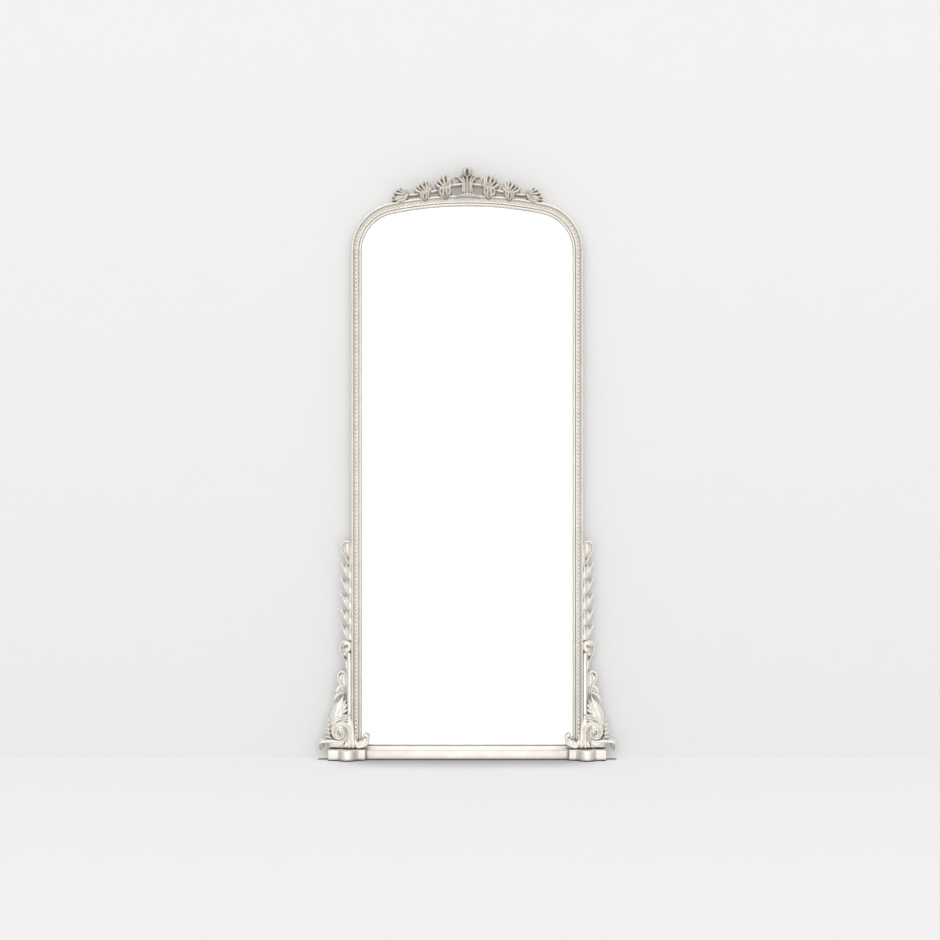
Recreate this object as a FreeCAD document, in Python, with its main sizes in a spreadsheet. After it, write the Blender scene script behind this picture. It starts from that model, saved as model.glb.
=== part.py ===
import FreeCAD, Part
import math
import os
import Sketcher

# Leaner mirror: an arched, silver-finished frame with pearl beading, a carved openwork crest and
# carved brackets at its feet. X is to the right, the front faces -Y and Z is up. The origin is at
# the bottom centre of the whole. Depths are counted forward from the flat back of the frame.

SIZES = [
    ("sight_half_width", 337.5),
    ("sight_foot", 46),
    ("spring_height", 1628),
    ("arch_rise", 144),
    ("corner_radius", 122),
    ("moulding_width", 34),
    ("side_depth", 43),
    ("inner_roll_width", 10),
    ("quirk_width", 1),
    ("channel_width", 16),
    ("lip_back", 24),
    ("lip_thickness", 8),
    ("roll_rise", 4),
    ("channel_depth", 39),
    ("glass_thickness", 4),
    ("glass_lap", 7),
    ("glass_clearance", 1),
    ("board_thickness", 6),
    ("board_lap", 19.5),
    ("board_clearance", 0.5),
    ("setting_block_length", 60),
    ("pad_thickness", 3),
    ("pad_inset", 5),
    ("plinth_height", 31),
    ("plinth_depth", 98),
    ("plinth_lap", 12.5),
    ("plinth_inner_width", 21),
    ("plinth_inner_depth", 74),
    ("plinth_cove_width", 15),
    ("plinth_lobe_width", 41),
    ("plinth_lobe_rise", 6),
    ("plinth_outer_cove_width", 8),
    ("plinth_outer_width", 33),
    ("plinth_outer_depth", 80),
    ("rail_depth", 58),
    ("fascia_height", 26),
    ("rail_quirk", 2.5),
    ("dowel_radius", 4),
    ("dowel_length", 38),
    ("dowel_inset", 7),
    ("dowel_depth", 24),
    ("dowel_clearance", 0.1),
    ("dowel_end_clearance", 1),
    ("point_length", 14),
    ("point_width", 8),
    ("point_thickness", 0.8),
    ("point_bite", 6),
    ("point_pitch", 360),
    ("screw_radius", 1.5),
    ("screw_head_radius", 3),
    ("screw_head_height", 2),
    ("screw_grip", 12),
    ("screw_clearance", 0.15),
    ("bead_pitch", 13.1),
    ("bead_diameter", 10),
    ("bead_relief", 5),
    ("beading_foot", 69),
    ("bumper_radius", 6),
    ("bumper_thickness", 8),
    ("bumper_drop", 60),
    ("hanger_drop", 208),
    ("strap_width", 11),
    ("strap_length", 36),
    ("strap_thickness", 1.1),
    ("ring_wire_radius", 1.2),
    ("ring_inner_width", 13.4),
    ("ring_drop", 18),
    ("ring_clearance", 0.1),
    ("crest_half_width", 245),
    ("crest_height", 94),
    ("crest_seat", 24),
    ("crest_relief", 26),
    ("palmette_seat", 16),
    ("palmette_relief", 34),
    ("drop_width", 36),
    ("drop_foot", 353),
    ("drop_height", 315),
    ("drop_seat", 10),
    ("drop_relief", 26),
    ("medallion_radius", 21),
    ("medallion_height", 325),
    ("strip_width", 19.5),
    ("strip_relief", 26),
    ("scroll_width", 60),
    ("scroll_foot", 158),
    ("scroll_height", 90),
    ("bracket_width", 108.5),
    ("bracket_height", 169),
    ("bracket_seat", 12),
    ("bracket_relief", 52),
    ("shaft_relief", 18),
    ("palmette_half_width", 46),
    ("rib_half_width", 6.5),
    ("stem_half_width", 4.5),
    ("crest_leaf_half_width", 9),
    ("volute_half_width", 6.5),
    ("shaft_half_width", 6),
    ("acanthus_half_width", 8),
    ("wave_half_width", 8),
    ("curl_half_width", 5.5),
    ("scroll_half_width", 6),
]


class Size(float):
    """A length in millimetres, with the expression that ties it to the sheet of sizes."""

    def __new__(cls, value, text):
        size = float.__new__(cls, value)
        size.text = text
        return size

    def __add__(self, other):
        return Size(float(self) + float(other), "(%s + %s)" % (self.text, text_of(other)))

    def __radd__(self, other):
        return Size(float(other) + float(self), "(%s + %s)" % (text_of(other), self.text))

    def __sub__(self, other):
        return Size(float(self) - float(other), "(%s - %s)" % (self.text, text_of(other)))

    def __rsub__(self, other):
        return Size(float(other) - float(self), "(%s - %s)" % (text_of(other), self.text))

    def __mul__(self, other):
        return Size(float(self) * float(other), "(%s * %s)" % (self.text, text_of(other)))

    def __rmul__(self, other):
        return Size(float(other) * float(self), "(%s * %s)" % (text_of(other), self.text))

    def __truediv__(self, other):
        return Size(float(self) / float(other), "(%s / %s)" % (self.text, text_of(other)))

    def __neg__(self):
        return Size(-float(self), "(-%s)" % self.text)


def text_of(value):
    return getattr(value, "text", repr(float(value)))


doc = FreeCAD.newDocument("leaner_mirror")
sheet = doc.addObject("Spreadsheet::Sheet", "sizes")
mm = {}
for row, (alias, value) in enumerate(SIZES, 1):
    sheet.set("A%d" % row, alias)
    sheet.set("B%d" % row, str(value))
    sheet.setAlias("B%d" % row, alias)
    mm[alias] = Size(value, "sizes." + alias)
doc.recompute()

subparts = []
zero = Size(0, "0")


def bind(item, path, size):
    item.setExpression(path, text_of(size))


def name_subpart(item, label):
    item.Label = label
    subparts.append(item)
    return item


# Places worked out from the driving sizes

back_face = (mm["plinth_depth"] - mm["bumper_thickness"]) / 2
plinth_top = mm["pad_thickness"] + mm["plinth_height"]
plinth_end = mm["sight_half_width"] - mm["plinth_lap"]
plinth_outer_end = (
    plinth_end + mm["plinth_inner_width"] + mm["plinth_cove_width"] + mm["plinth_lobe_width"]
    + mm["plinth_outer_cove_width"] + mm["plinth_outer_width"]
)
outer_half_width = mm["sight_half_width"] + mm["moulding_width"]
sight_top = mm["spring_height"] + mm["arch_rise"]
corner_x = mm["sight_half_width"] - mm["corner_radius"]
crown_radius = (
    (corner_x * corner_x + mm["arch_rise"] * mm["arch_rise"] - mm["corner_radius"] * mm["corner_radius"])
    / ((mm["arch_rise"] - mm["corner_radius"]) * 2)
)
crown_centre = sight_top - crown_radius
crown_drop = crown_radius - mm["arch_rise"]
glass_back = mm["lip_back"] - mm["glass_thickness"]
board_back = glass_back - mm["board_thickness"]
lip_front = mm["lip_back"] + mm["lip_thickness"]
glass_rebate = mm["glass_lap"] + mm["glass_clearance"]
board_rebate = mm["board_lap"] + mm["board_clearance"]
channel_start = mm["inner_roll_width"] + mm["quirk_width"]
bead_line = channel_start + mm["channel_width"] / 2
fascia_top = mm["pad_thickness"] + mm["fascia_height"]
board_foot = mm["sight_foot"] - board_rebate
glass_foot = mm["sight_foot"] - mm["glass_lap"]
dowel_line = mm["moulding_width"] - mm["dowel_inset"]


# Sketches and the features made from them


def arc_centre(start, end, radius):
    """The centre of the minor arc that runs anticlockwise from start to end."""
    along = (end - start) / 2
    reach = math.sqrt(max(radius * radius - along.Length * along.Length, 0))
    across = FreeCAD.Vector(-along.y, along.x, 0)
    return start + along + across.normalize() * reach


dowel_sides = 8


def add_sketch(body, name, role, lift=None):
    sketch = body.newObject("Sketcher::SketchObject", name)
    plane = next(item for item in body.Origin.OriginFeatures if item.Role == role)
    sketch.AttachmentSupport = [(plane, "")]
    sketch.MapMode = "FlatFace"
    if lift is not None:
        bind(sketch, "AttachmentOffset.Base.z", lift)
    return sketch


def pin_point(sketch, edge, vertex, x, y):
    """Holds one end of an edge at a place given in sheet sizes."""
    for kind, size in (("DistanceX", x), ("DistanceY", y)):
        held = sketch.addConstraint(Sketcher.Constraint(kind, -1, 1, edge, vertex, float(size)))
        bind(sketch, "Constraints[%d]" % held, size)


def draw_outline(sketch, corners):
    """A closed outline. Each corner is (x, y) or (x, y, radius), where the radius rounds the edge that
    leaves the corner: outward if it is positive, and inward if it is negative."""
    corners = [tuple(corner) + (None,) * (3 - len(corner)) for corner in corners]
    area = sum(
        one[0] * two[1] - two[0] * one[1] for one, two in zip(corners, corners[1:] + corners[:1])
    )
    if area < 0:
        turned = corners[::-1]
        corners = [(one[0], one[1], two[2]) for one, two in zip(turned, turned[1:] + turned[:1])]
    ends = []
    for one, two in zip(corners, corners[1:] + corners[:1]):
        start = FreeCAD.Vector(one[0], one[1], 0)
        end = FreeCAD.Vector(two[0], two[1], 0)
        radius = one[2]
        if radius is None:
            edge = sketch.addGeometry(Part.LineSegment(start, end))
            ends.append((edge, 1, 2))
            continue
        if radius < 0:
            start, end = end, start
        centre = arc_centre(start, end, abs(radius))
        first = math.atan2(start.y - centre.y, start.x - centre.x)
        last = math.atan2(end.y - centre.y, end.x - centre.x)
        if last < first:
            last += 2 * math.pi
        circle = Part.Circle(centre, FreeCAD.Vector(0, 0, 1), abs(radius))
        edge = sketch.addGeometry(Part.ArcOfCircle(circle, first, last))
        ends.append((edge, 2, 1) if radius < 0 else (edge, 1, 2))
        held = sketch.addConstraint(Sketcher.Constraint("Radius", edge, float(abs(radius))))
        bind(sketch, "Constraints[%d]" % held, -radius if radius < 0 else radius)
    for (edge, start, _), (before, _, end), corner in zip(ends, ends[-1:] + ends[:-1], corners):
        sketch.addConstraint(Sketcher.Constraint("Coincident", before, end, edge, start))
        pin_point(sketch, edge, start, corner[0], corner[1])
    return sketch


def flat_sided(x, y, radius):
    """The corners of a hole or peg with flat sides, about its middle."""
    turns = [math.tau * side / dowel_sides for side in range(dowel_sides)]
    return [(x + radius * math.cos(turn), y + radius * math.sin(turn)) for turn in turns]


def add_body(label, height=0):
    """A body that stands on a given height, with its back on the back of the frame."""
    body = name_subpart(doc.addObject("PartDesign::Body", label), label)
    bind(body, "Placement.Base.y", back_face)
    bind(body, "Placement.Base.z", height)
    return body


def add_pad(body, sketch, length, both_ways=False):
    pad = body.newObject("PartDesign::Pad", sketch.Name + "_pad")
    pad.Profile = sketch
    bind(pad, "Length", length)
    pad.Midplane = both_ways
    return pad


def drill(body, name, role, lift, spots, depth, forward=False):
    """Blind dowel holes; the volume is compared, because a pocket that misses gives no error."""
    doc.recompute()
    before = body.Shape.Volume
    sketch = add_sketch(body, name, role, lift)
    for x, y in spots:
        draw_outline(sketch, flat_sided(x, y, mm["dowel_radius"] + mm["dowel_clearance"]))
    pocket = body.newObject("PartDesign::Pocket", name + "_cut")
    pocket.Profile = sketch
    bind(pocket, "Length", depth)
    pocket.Reversed = forward
    doc.recompute()
    if body.Shape.Volume > before - mm["dowel_radius"] * mm["dowel_radius"] * depth:
        raise RuntimeError(name + " cuts nothing")
    return pocket


def mirror_feature(body, feature):
    """Repeats a feature on the other side of the middle plane."""
    mirrored = body.newObject("PartDesign::Mirrored", feature.Name + "_mirrored")
    mirrored.Originals = [feature]
    plane = next(item for item in body.Origin.OriginFeatures if item.Role == "YZ_Plane")
    mirrored.MirrorPlane = (plane, [""])
    body.Tip = mirrored
    return mirrored


def mirror_subpart(source, label):
    """The left-hand piece, made as the mirror image of the right-hand one."""
    item = doc.addObject("Part::Mirroring", label)
    item.Source = source
    item.Normal = FreeCAD.Vector(1, 0, 0)
    return name_subpart(item, label)


# Moulding section, as (distance out from the sight edge, depth); each roll is worked in flats

roll_flats = 3
inner_roll_share = 0.56
outer_roll_share = 0.55
outer_roll_start = channel_start + mm["channel_width"]


def roll(start, end, radius_share):
    """The flats of a roll from start to end, whose radius is a share of the chord between them."""
    half_turn = math.asin(0.5 / radius_share)
    run = end[0] - start[0]
    rise = end[1] - start[1]
    corners = [start]
    for flat in range(1, roll_flats):
        turn = half_turn * (2 * flat - roll_flats) / roll_flats
        along = 0.5 + radius_share * math.sin(turn)
        out = radius_share * (math.cos(turn) - math.cos(half_turn))
        corners.append((start[0] + run * along - rise * out, start[1] + rise * along + run * out))
    return corners + [end]


moulding_section = [
    (mm["moulding_width"], 0),
    (board_rebate, 0),
    (board_rebate, glass_back),
    (glass_rebate, glass_back),
    (glass_rebate, mm["lip_back"]),
    (0, mm["lip_back"]),
    *roll((zero, lip_front), (mm["inner_roll_width"], lip_front + mm["roll_rise"]), inner_roll_share),
    (channel_start, lip_front + mm["roll_rise"]),
    (channel_start, mm["channel_depth"]),
    (outer_roll_start, mm["channel_depth"]),
    *roll((outer_roll_start, mm["side_depth"]), (mm["moulding_width"], mm["side_depth"]), outer_roll_share),
]


def moulding_across(side=1):
    """The section where it lies level, beside the spring line on the right (1) or the left (-1)."""
    return [
        (side * (mm["sight_half_width"] + out), -depth)
        for out, depth in moulding_section
    ]


def moulding_upright():
    """The section where it stands on the crown of the arch."""
    return [(-depth, sight_top + out) for out, depth in moulding_section]


# Stiles: straight lengths of moulding that stand on the plinth blocks

right_stile = add_body("right_stile", plinth_top)
add_pad(
    right_stile,
    draw_outline(add_sketch(right_stile, "stile_section", "XY_Plane"), moulding_across()),
    mm["spring_height"] - plinth_top,
)
dowel_depth = mm["dowel_length"] / 2 + mm["dowel_end_clearance"]
stile_dowel_spot = [(mm["sight_half_width"] + dowel_line, -mm["dowel_depth"])]
drill(right_stile, "stile_foot_hole", "XY_Plane", 0, stile_dowel_spot, dowel_depth, True)
drill(
    right_stile, "stile_head_hole", "XY_Plane", mm["spring_height"] - plinth_top,
    stile_dowel_spot, dowel_depth,
)
left_stile = mirror_subpart(right_stile, "left_stile")

# Arch: the same section turned round the corner on each side and over the crown

arch = add_body("arch_moulding")


def turn_section(name, role, corners, lift, axis_ends, angle, both_ways=False):
    """Turns the section about an axis that runs front to back through an arc's centre."""
    sketch = draw_outline(add_sketch(arch, name, role, lift), corners)
    axis = sketch.addGeometry(Part.LineSegment(*[FreeCAD.Vector(*end, 0) for end in axis_ends]), True)
    for vertex, end in enumerate(axis_ends, 1):
        pin_point(sketch, axis, vertex, *end)
    turned = arch.newObject("PartDesign::Revolution", name + "_turned")
    turned.Profile = sketch
    turned.ReferenceAxis = (sketch, ["Axis0"])
    turned.setExpression("Angle", angle)
    turned.Midplane = both_ways
    return turned


crown_half_angle = "atan(%s / %s)" % (corner_x.text, crown_drop.text)
turn_section(
    "right_corner", "XY_Plane", moulding_across(), mm["spring_height"],
    [(corner_x, lip_front), (corner_x, mm["lip_back"])], "90 deg - " + crown_half_angle,
)
turn_section(
    "crown", "YZ_Plane", moulding_upright(), None,
    [(mm["lip_back"], crown_centre), (lip_front, crown_centre)], "2 * " + crown_half_angle, True,
)
turn_section(
    "left_corner", "XY_Plane", moulding_across(-1), mm["spring_height"],
    [(-corner_x, mm["lip_back"]), (-corner_x, lip_front)], "90 deg - " + crown_half_angle,
)
drill(
    arch, "arch_foot_holes", "XY_Plane", mm["spring_height"],
    stile_dowel_spot + [(-x, y) for x, y in stile_dowel_spot], dowel_depth, True,
)


def arch_outline(out, foot):
    """The outline that runs a steady distance out from the sight edge, above the given foot corners."""
    side = mm["sight_half_width"] + out
    centres_apart = crown_radius - mm["corner_radius"]
    meet_x = (crown_radius + out) * (corner_x / centres_apart)
    meet_z = crown_centre + (crown_radius + out) * (crown_drop / centres_apart)
    corner = mm["corner_radius"] + out
    return foot + [
        (side, mm["spring_height"], corner),
        (meet_x, meet_z, crown_radius + out),
        (-meet_x, meet_z, corner),
        (-side, mm["spring_height"]),
    ]


# Bottom rail: a plain fascia with a sloped ledge up to the glass, between the plinth blocks

ledge_foot = fascia_top + mm["rail_quirk"]
ledge_depth = mm["rail_depth"] - mm["rail_quirk"]
ledge_run = (ledge_depth - lip_front) / (mm["sight_foot"] - ledge_foot)
ledge_back = [
    (-lip_front, mm["sight_foot"]),
    (-mm["lip_back"], mm["sight_foot"]),
    (-mm["lip_back"], mm["sight_foot"] - glass_rebate),
    (-glass_back, mm["sight_foot"] - glass_rebate),
]
bottom_rail = add_body("bottom_rail")
add_pad(
    bottom_rail,
    draw_outline(add_sketch(bottom_rail, "rail_section", "YZ_Plane"), [
        (0, mm["pad_thickness"]),
        (-mm["rail_depth"], mm["pad_thickness"]),
        (-mm["rail_depth"], fascia_top),
        (-ledge_depth, fascia_top),
        (-ledge_depth, ledge_foot),
    ] + ledge_back + [(-glass_back, board_foot), (0, board_foot)]),
    plinth_end * 2, True,
)
add_pad(
    bottom_rail,
    draw_outline(add_sketch(bottom_rail, "ledge_section", "YZ_Plane"), [
        (-glass_back, plinth_top),
        ((plinth_top - ledge_foot) * ledge_run - ledge_depth, plinth_top),
    ] + ledge_back),
    mm["sight_half_width"] * 2, True,
)
rail_dowel_height = (mm["pad_thickness"] + board_foot) / 2
rail_end_hole = drill(
    bottom_rail, "rail_end_hole", "YZ_Plane", plinth_end,
    [(-mm["dowel_depth"], rail_dowel_height)], dowel_depth,
)
mirror_feature(bottom_rail, rail_end_hole)

# Plinth blocks: stepped blocks with a bold middle lobe, under the stiles and brackets

lobe_share = 0.93
cove_share = 1.01
inner_cove = plinth_end + mm["plinth_inner_width"]
inner_lobe = inner_cove + mm["plinth_cove_width"]
outer_lobe = inner_lobe + mm["plinth_lobe_width"]
outer_cove = outer_lobe + mm["plinth_outer_cove_width"]
lobe_spring = mm["plinth_depth"] - mm["plinth_lobe_rise"]


def chord(run, rise):
    """The straight distance over a run and a rise."""
    square = run * run + rise * rise
    return Size(math.sqrt(square), "sqrt(%s)" % square.text)


cove_chord = chord(mm["plinth_cove_width"], lobe_spring - mm["plinth_inner_depth"])
outer_cove_chord = chord(mm["plinth_outer_cove_width"], lobe_spring - mm["plinth_outer_depth"])
right_plinth_block = add_body("right_plinth_block", mm["pad_thickness"])
add_pad(
    right_plinth_block,
    draw_outline(add_sketch(right_plinth_block, "plinth_outline", "XY_Plane"), [
        (plinth_end, 0),
        (plinth_end, -mm["plinth_inner_depth"]),
        (inner_cove, -mm["plinth_inner_depth"], -cove_chord * cove_share),
        (inner_lobe, -lobe_spring, mm["plinth_lobe_width"] * lobe_share),
        (outer_lobe, -lobe_spring, -outer_cove_chord * cove_share),
        (outer_cove, -mm["plinth_outer_depth"]),
        (plinth_outer_end, -mm["plinth_outer_depth"]),
        (plinth_outer_end, 0),
    ]),
    mm["plinth_height"],
)
drill(
    right_plinth_block, "plinth_top_hole", "XY_Plane", mm["plinth_height"],
    stile_dowel_spot, dowel_depth,
)
drill(
    right_plinth_block, "plinth_end_hole", "YZ_Plane", plinth_end,
    [(-mm["dowel_depth"], rail_dowel_height - mm["pad_thickness"])], dowel_depth, True,
)
left_plinth_block = mirror_subpart(right_plinth_block, "left_plinth_block")

# Mirror glass and the board behind it, both cut to the shape of the arch

mirror_glass = add_body("mirror_glass")
glass_side = mm["sight_half_width"] + mm["glass_lap"]
add_pad(
    mirror_glass,
    draw_outline(
        add_sketch(mirror_glass, "glass_outline", "XZ_Plane", glass_back),
        arch_outline(mm["glass_lap"], [(-glass_side, glass_foot), (glass_side, glass_foot)]),
    ),
    mm["glass_thickness"],
)

backing_board = add_body("backing_board")
board_side = mm["sight_half_width"] + mm["board_lap"]
notch_side = plinth_end - mm["board_clearance"]
notch_top = plinth_top + mm["board_clearance"]
board_bottom = board_foot + mm["board_clearance"]
add_pad(
    backing_board,
    draw_outline(
        add_sketch(backing_board, "board_outline", "XZ_Plane", board_back),
        arch_outline(mm["board_lap"], [
            (-board_side, notch_top),
            (-notch_side, notch_top),
            (-notch_side, board_bottom),
            (notch_side, board_bottom),
            (notch_side, notch_top),
            (board_side, notch_top),
        ]),
    ),
    mm["board_thickness"],
)

# Small parts made of simple solids


def add_solid(kind, name, place, turn=None, **sizes):
    item = doc.addObject("Part::" + kind, name)
    for path, size in sizes.items():
        bind(item, path, size)
    if turn is not None:
        item.Placement.Rotation = FreeCAD.Rotation(FreeCAD.Vector(*turn[0]), turn[1])
    for path, size in zip("xyz", place):
        bind(item, "Placement.Base." + path, size)
    return item


def group(label, solids):
    """Like pieces that share one sub-part, each a solid of its own."""
    item = doc.addObject("Part::Compound", label)
    item.Links = solids
    return name_subpart(item, label)


def joined(name, solids):
    item = doc.addObject("Part::MultiFuse", name)
    item.Shapes = solids
    return item


setting_blocks = [
    add_solid(
        "Box", "setting_block",
        (side * glass_side / 2 - mm["setting_block_length"] / 2, back_face - mm["lip_back"],
         glass_foot - mm["glass_clearance"]),
        Length=mm["setting_block_length"], Width=mm["glass_thickness"], Height=mm["glass_clearance"],
    )
    for side in (-1, 1)
]
group("glass_setting_blocks", setting_blocks)

pad_length = plinth_outer_end - plinth_end - mm["pad_inset"] * 2
floor_pads = [
    add_solid(
        "Box", "floor_pad",
        (side * (plinth_end + plinth_outer_end) / 2 - pad_length / 2,
         back_face - mm["plinth_inner_depth"] + mm["pad_inset"], 0),
        Length=pad_length, Width=mm["plinth_inner_depth"] - mm["pad_inset"], Height=mm["pad_thickness"],
    )
    for side in (-1, 1)
]
group("floor_pads", floor_pads)

upright_dowel_y = back_face - mm["dowel_depth"]
dowels = []


def add_prism(name, place, turn, radius, length, sides=dowel_sides):
    item = add_solid("Prism", name, place, turn, Circumradius=radius, Height=length)
    item.Polygon = sides
    return item


for side in (-1, 1):
    upright_dowel_x = side * (mm["sight_half_width"] + dowel_line)
    for height in (plinth_top, mm["spring_height"]):
        dowels.append(add_prism(
            "dowel", (upright_dowel_x, upright_dowel_y, height - mm["dowel_length"] / 2), None,
            mm["dowel_radius"], mm["dowel_length"],
        ))
    dowels.append(add_prism(
        "dowel", (side * plinth_end - mm["dowel_length"] / 2, upright_dowel_y, rail_dowel_height),
        ((0, 1, 0), 90), mm["dowel_radius"], mm["dowel_length"],
    ))
group("frame_dowels", dowels)

bumper_sides = 16


def add_point(x, z, turn):
    """A flat steel point, driven into the wall of the rebate, that holds the board from behind."""
    point = doc.addObject("Part::Box", "board_point")
    bind(point, "Length", mm["point_length"])
    bind(point, "Width", mm["point_thickness"])
    bind(point, "Height", mm["point_width"])
    point.Placement.Rotation = FreeCAD.Rotation(FreeCAD.Vector(0, 1, 0), turn)
    bind(point, "Placement.Base.x", x)
    bind(point, "Placement.Base.y", back_face - board_back)
    bind(point, "Placement.Base.z", z)
    return point


point_line = mm["sight_half_width"] + board_rebate + mm["point_bite"]
point_rows = 4
board_points = []
for row in range(point_rows):
    height = plinth_top + mm["point_pitch"] * row + mm["point_pitch"] / 2
    board_points.append(add_point(point_line - mm["point_length"], height, 0))
    board_points.append(add_point(-point_line, height, 0))
for side in (-1, 1):
    across = side * mm["point_pitch"] / 2
    rebate_top = crown_centre + (crown_radius + board_rebate) * math.cos(across / crown_radius)
    board_points.append(add_point(across, board_foot - mm["point_bite"] + mm["point_length"], 90))
    board_points.append(add_point(across, rebate_top + mm["point_bite"], 90))
group("board_points", board_points)


shank_sides = 6


def add_screw(name, x, seat_y, z, grip):
    """A pan-head screw that points forward, with its head behind the seat."""
    turn = ((1, 0, 0), 90)
    return joined(name, [
        add_prism(
            name + "_head", (x, seat_y + mm["screw_head_height"], z), turn,
            mm["screw_head_radius"], mm["screw_head_height"],
        ),
        add_prism(name + "_shank", (x, seat_y, z), turn, mm["screw_radius"], grip, shank_sides),
    ])


wall_bumpers = [
    add_prism(
        "wall_bumper",
        (side * (mm["sight_half_width"] + dowel_line), back_face + mm["bumper_thickness"],
         mm["spring_height"] - mm["bumper_drop"]),
        ((1, 0, 0), 90), mm["bumper_radius"], mm["bumper_thickness"], bumper_sides,
    )
    for side in (-1, 1)
]
group("wall_bumpers", wall_bumpers)

# Hangers: a strap screwed to the back of each stile, rolled round the bar of a loose D-ring

hanger_x = mm["sight_half_width"] + dowel_line
hanger_height = mm["spring_height"] - mm["hanger_drop"]
ring_bar = mm["ring_wire_radius"] + mm["ring_clearance"]
knuckle_radius = ring_bar + mm["strap_thickness"]
ring_y = back_face + knuckle_radius
strap_side = hanger_x - mm["strap_width"] / 2
strap_hole_shares = (0.25, 0.8)
strap_screws = [mm["strap_length"] * share for share in strap_hole_shares]
right_hanger_plate = doc.addObject("Part::Cut", "right_hanger_plate")
across_strap = ((0, 1, 0), 90)
knuckle_place = (strap_side, ring_y, hanger_height)
right_hanger_plate.Base = joined("strap_and_knuckle", [
    add_solid(
        "Box", "strap", (strap_side, back_face, hanger_height - mm["strap_length"]),
        Length=mm["strap_width"], Width=mm["strap_thickness"], Height=mm["strap_length"],
    ),
    add_prism("knuckle", knuckle_place, across_strap, knuckle_radius, mm["strap_width"]),
])
right_hanger_plate.Tool = joined("strap_cuts", [
    add_solid(
        "Cylinder", "bar_hole", knuckle_place, across_strap, Radius=ring_bar, Height=mm["strap_width"],
    ),
] + [
    add_prism(
        "strap_hole", (hanger_x, back_face + mm["strap_thickness"], hanger_height - drop),
        ((1, 0, 0), 90), mm["screw_radius"] + mm["screw_clearance"], mm["strap_thickness"],
    )
    for drop in strap_screws
])
name_subpart(right_hanger_plate, "right_hanger_plate")
left_hanger_plate = mirror_subpart(right_hanger_plate, "left_hanger_plate")
group("hanger_screws", [
    add_screw(
        "hanger_screw", side * hanger_x, back_face + mm["strap_thickness"],
        hanger_height - drop, mm["strap_thickness"] + mm["screw_grip"],
    )
    for side in (-1, 1) for drop in strap_screws
])

# Faceted solids, for wire, beads and carving


def closed_up(faces):
    """The solid inside a closed set of faces."""
    solid = Part.Solid(Part.makeShell(faces))
    if solid.Volume < 0:
        solid.reverse()
    return solid


def faceted(rings, closed=False):
    """A solid with flat facets between rings of points; it has flat ends unless the rings close up."""
    faces = []
    pairs = zip(rings, rings[1:] + rings[:1]) if closed else zip(rings, rings[1:])
    for one, two in pairs:
        for left, right, far_right, far_left in zip(one, one[1:] + one[:1], two[1:] + two[:1], two):
            faces.append(Part.Face(Part.makePolygon([left, right, far_right, left])))
            faces.append(Part.Face(Part.makePolygon([left, far_right, far_left, left])))
    if not closed:
        for ring in (rings[0], rings[-1]):
            faces.append(Part.Face(Part.makePolygon(ring + ring[:1])))
    return closed_up(faces)


def add_shape(label, shape, place):
    """A sub-part whose shape is written from its own place, which its placement gives back."""
    item = doc.addObject("Part::Feature", label)
    to_own_place = FreeCAD.Matrix()
    to_own_place.move(-place)
    written = shape.copy()
    written.transformShape(to_own_place, True)
    item.Shape = written
    item.Placement = FreeCAD.Placement(place, FreeCAD.Rotation())
    return name_subpart(item, label)


# D-rings: bent wire that hangs from the bar in the knuckle and folds down over its strap

wire_sides = 6
ring_half_width = mm["ring_inner_width"] / 2 + mm["ring_wire_radius"]
ring_corner_share = 1.8
ring_corner = mm["ring_wire_radius"] * ring_corner_share
ring_origin = FreeCAD.Vector(hanger_x, ring_y, hanger_height)
bend_flats = 2
bow_flats = 7
ring_bends = [
    (ring_half_width - ring_corner, -ring_corner, ring_corner, (90, 0), bend_flats),
    (0, ring_half_width - mm["ring_drop"], ring_half_width, (0, -180), bow_flats),
    (ring_corner - ring_half_width, -ring_corner, ring_corner, (180, 90), bend_flats),
]
wire_rings = []
for centre_x, centre_z, radius, turns, flats in ring_bends:
    for flat in range(flats + 1):
        turn = math.radians(turns[0] + (turns[1] - turns[0]) * flat / flats)
        outward = FreeCAD.Vector(math.cos(turn), 0, math.sin(turn))
        middle = ring_origin + FreeCAD.Vector(centre_x, 0, centre_z) + outward * radius
        wire_rings.append([
            middle + outward * (mm["ring_wire_radius"] * math.cos(math.tau * side / wire_sides))
            + FreeCAD.Vector(0, mm["ring_wire_radius"] * math.sin(math.tau * side / wire_sides), 0)
            for side in range(wire_sides)
        ])
right_hanger_ring = add_shape("right_hanger_ring", faceted(wire_rings, True), ring_origin)
left_hanger_ring = mirror_subpart(right_hanger_ring, "left_hanger_ring")

# Pearl beading: half-round beads in the channel, evenly spaced up each stile and round the arch

bead_sides = 5
bead_y = back_face - mm["channel_depth"]


def make_bead(x, z):
    """A bead cut in flat sides that rise from the channel to its crown."""
    radius = mm["bead_diameter"] / 2
    turns = [math.tau * side / bead_sides for side in range(bead_sides)]
    foot = [
        FreeCAD.Vector(x + radius * math.sin(turn), bead_y, z + radius * math.cos(turn)) for turn in turns
    ]
    crown = FreeCAD.Vector(x, bead_y - mm["bead_relief"], z)
    facets = [[one, two, crown] for one, two in zip(foot, foot[1:] + foot[:1])] + [foot]
    return closed_up([Part.Face(Part.makePolygon(facet + facet[:1])) for facet in facets])


def spaced(length):
    """Distances along a run, half a pitch in from each end."""
    count = int(length / mm["bead_pitch"])
    return [length * (number * 2 + 1) / (count * 2) for number in range(count)]


bead_x = mm["sight_half_width"] + bead_line
bead_origin = FreeCAD.Vector(bead_x, bead_y, mm["beading_foot"])
stile_beads = [
    make_bead(bead_x, mm["beading_foot"] + along)
    for along in spaced(mm["spring_height"] - mm["beading_foot"])
]
right_beading = add_shape("right_beading", Part.makeCompound(stile_beads), bead_origin)
left_beading = mirror_subpart(right_beading, "left_beading")

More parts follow.
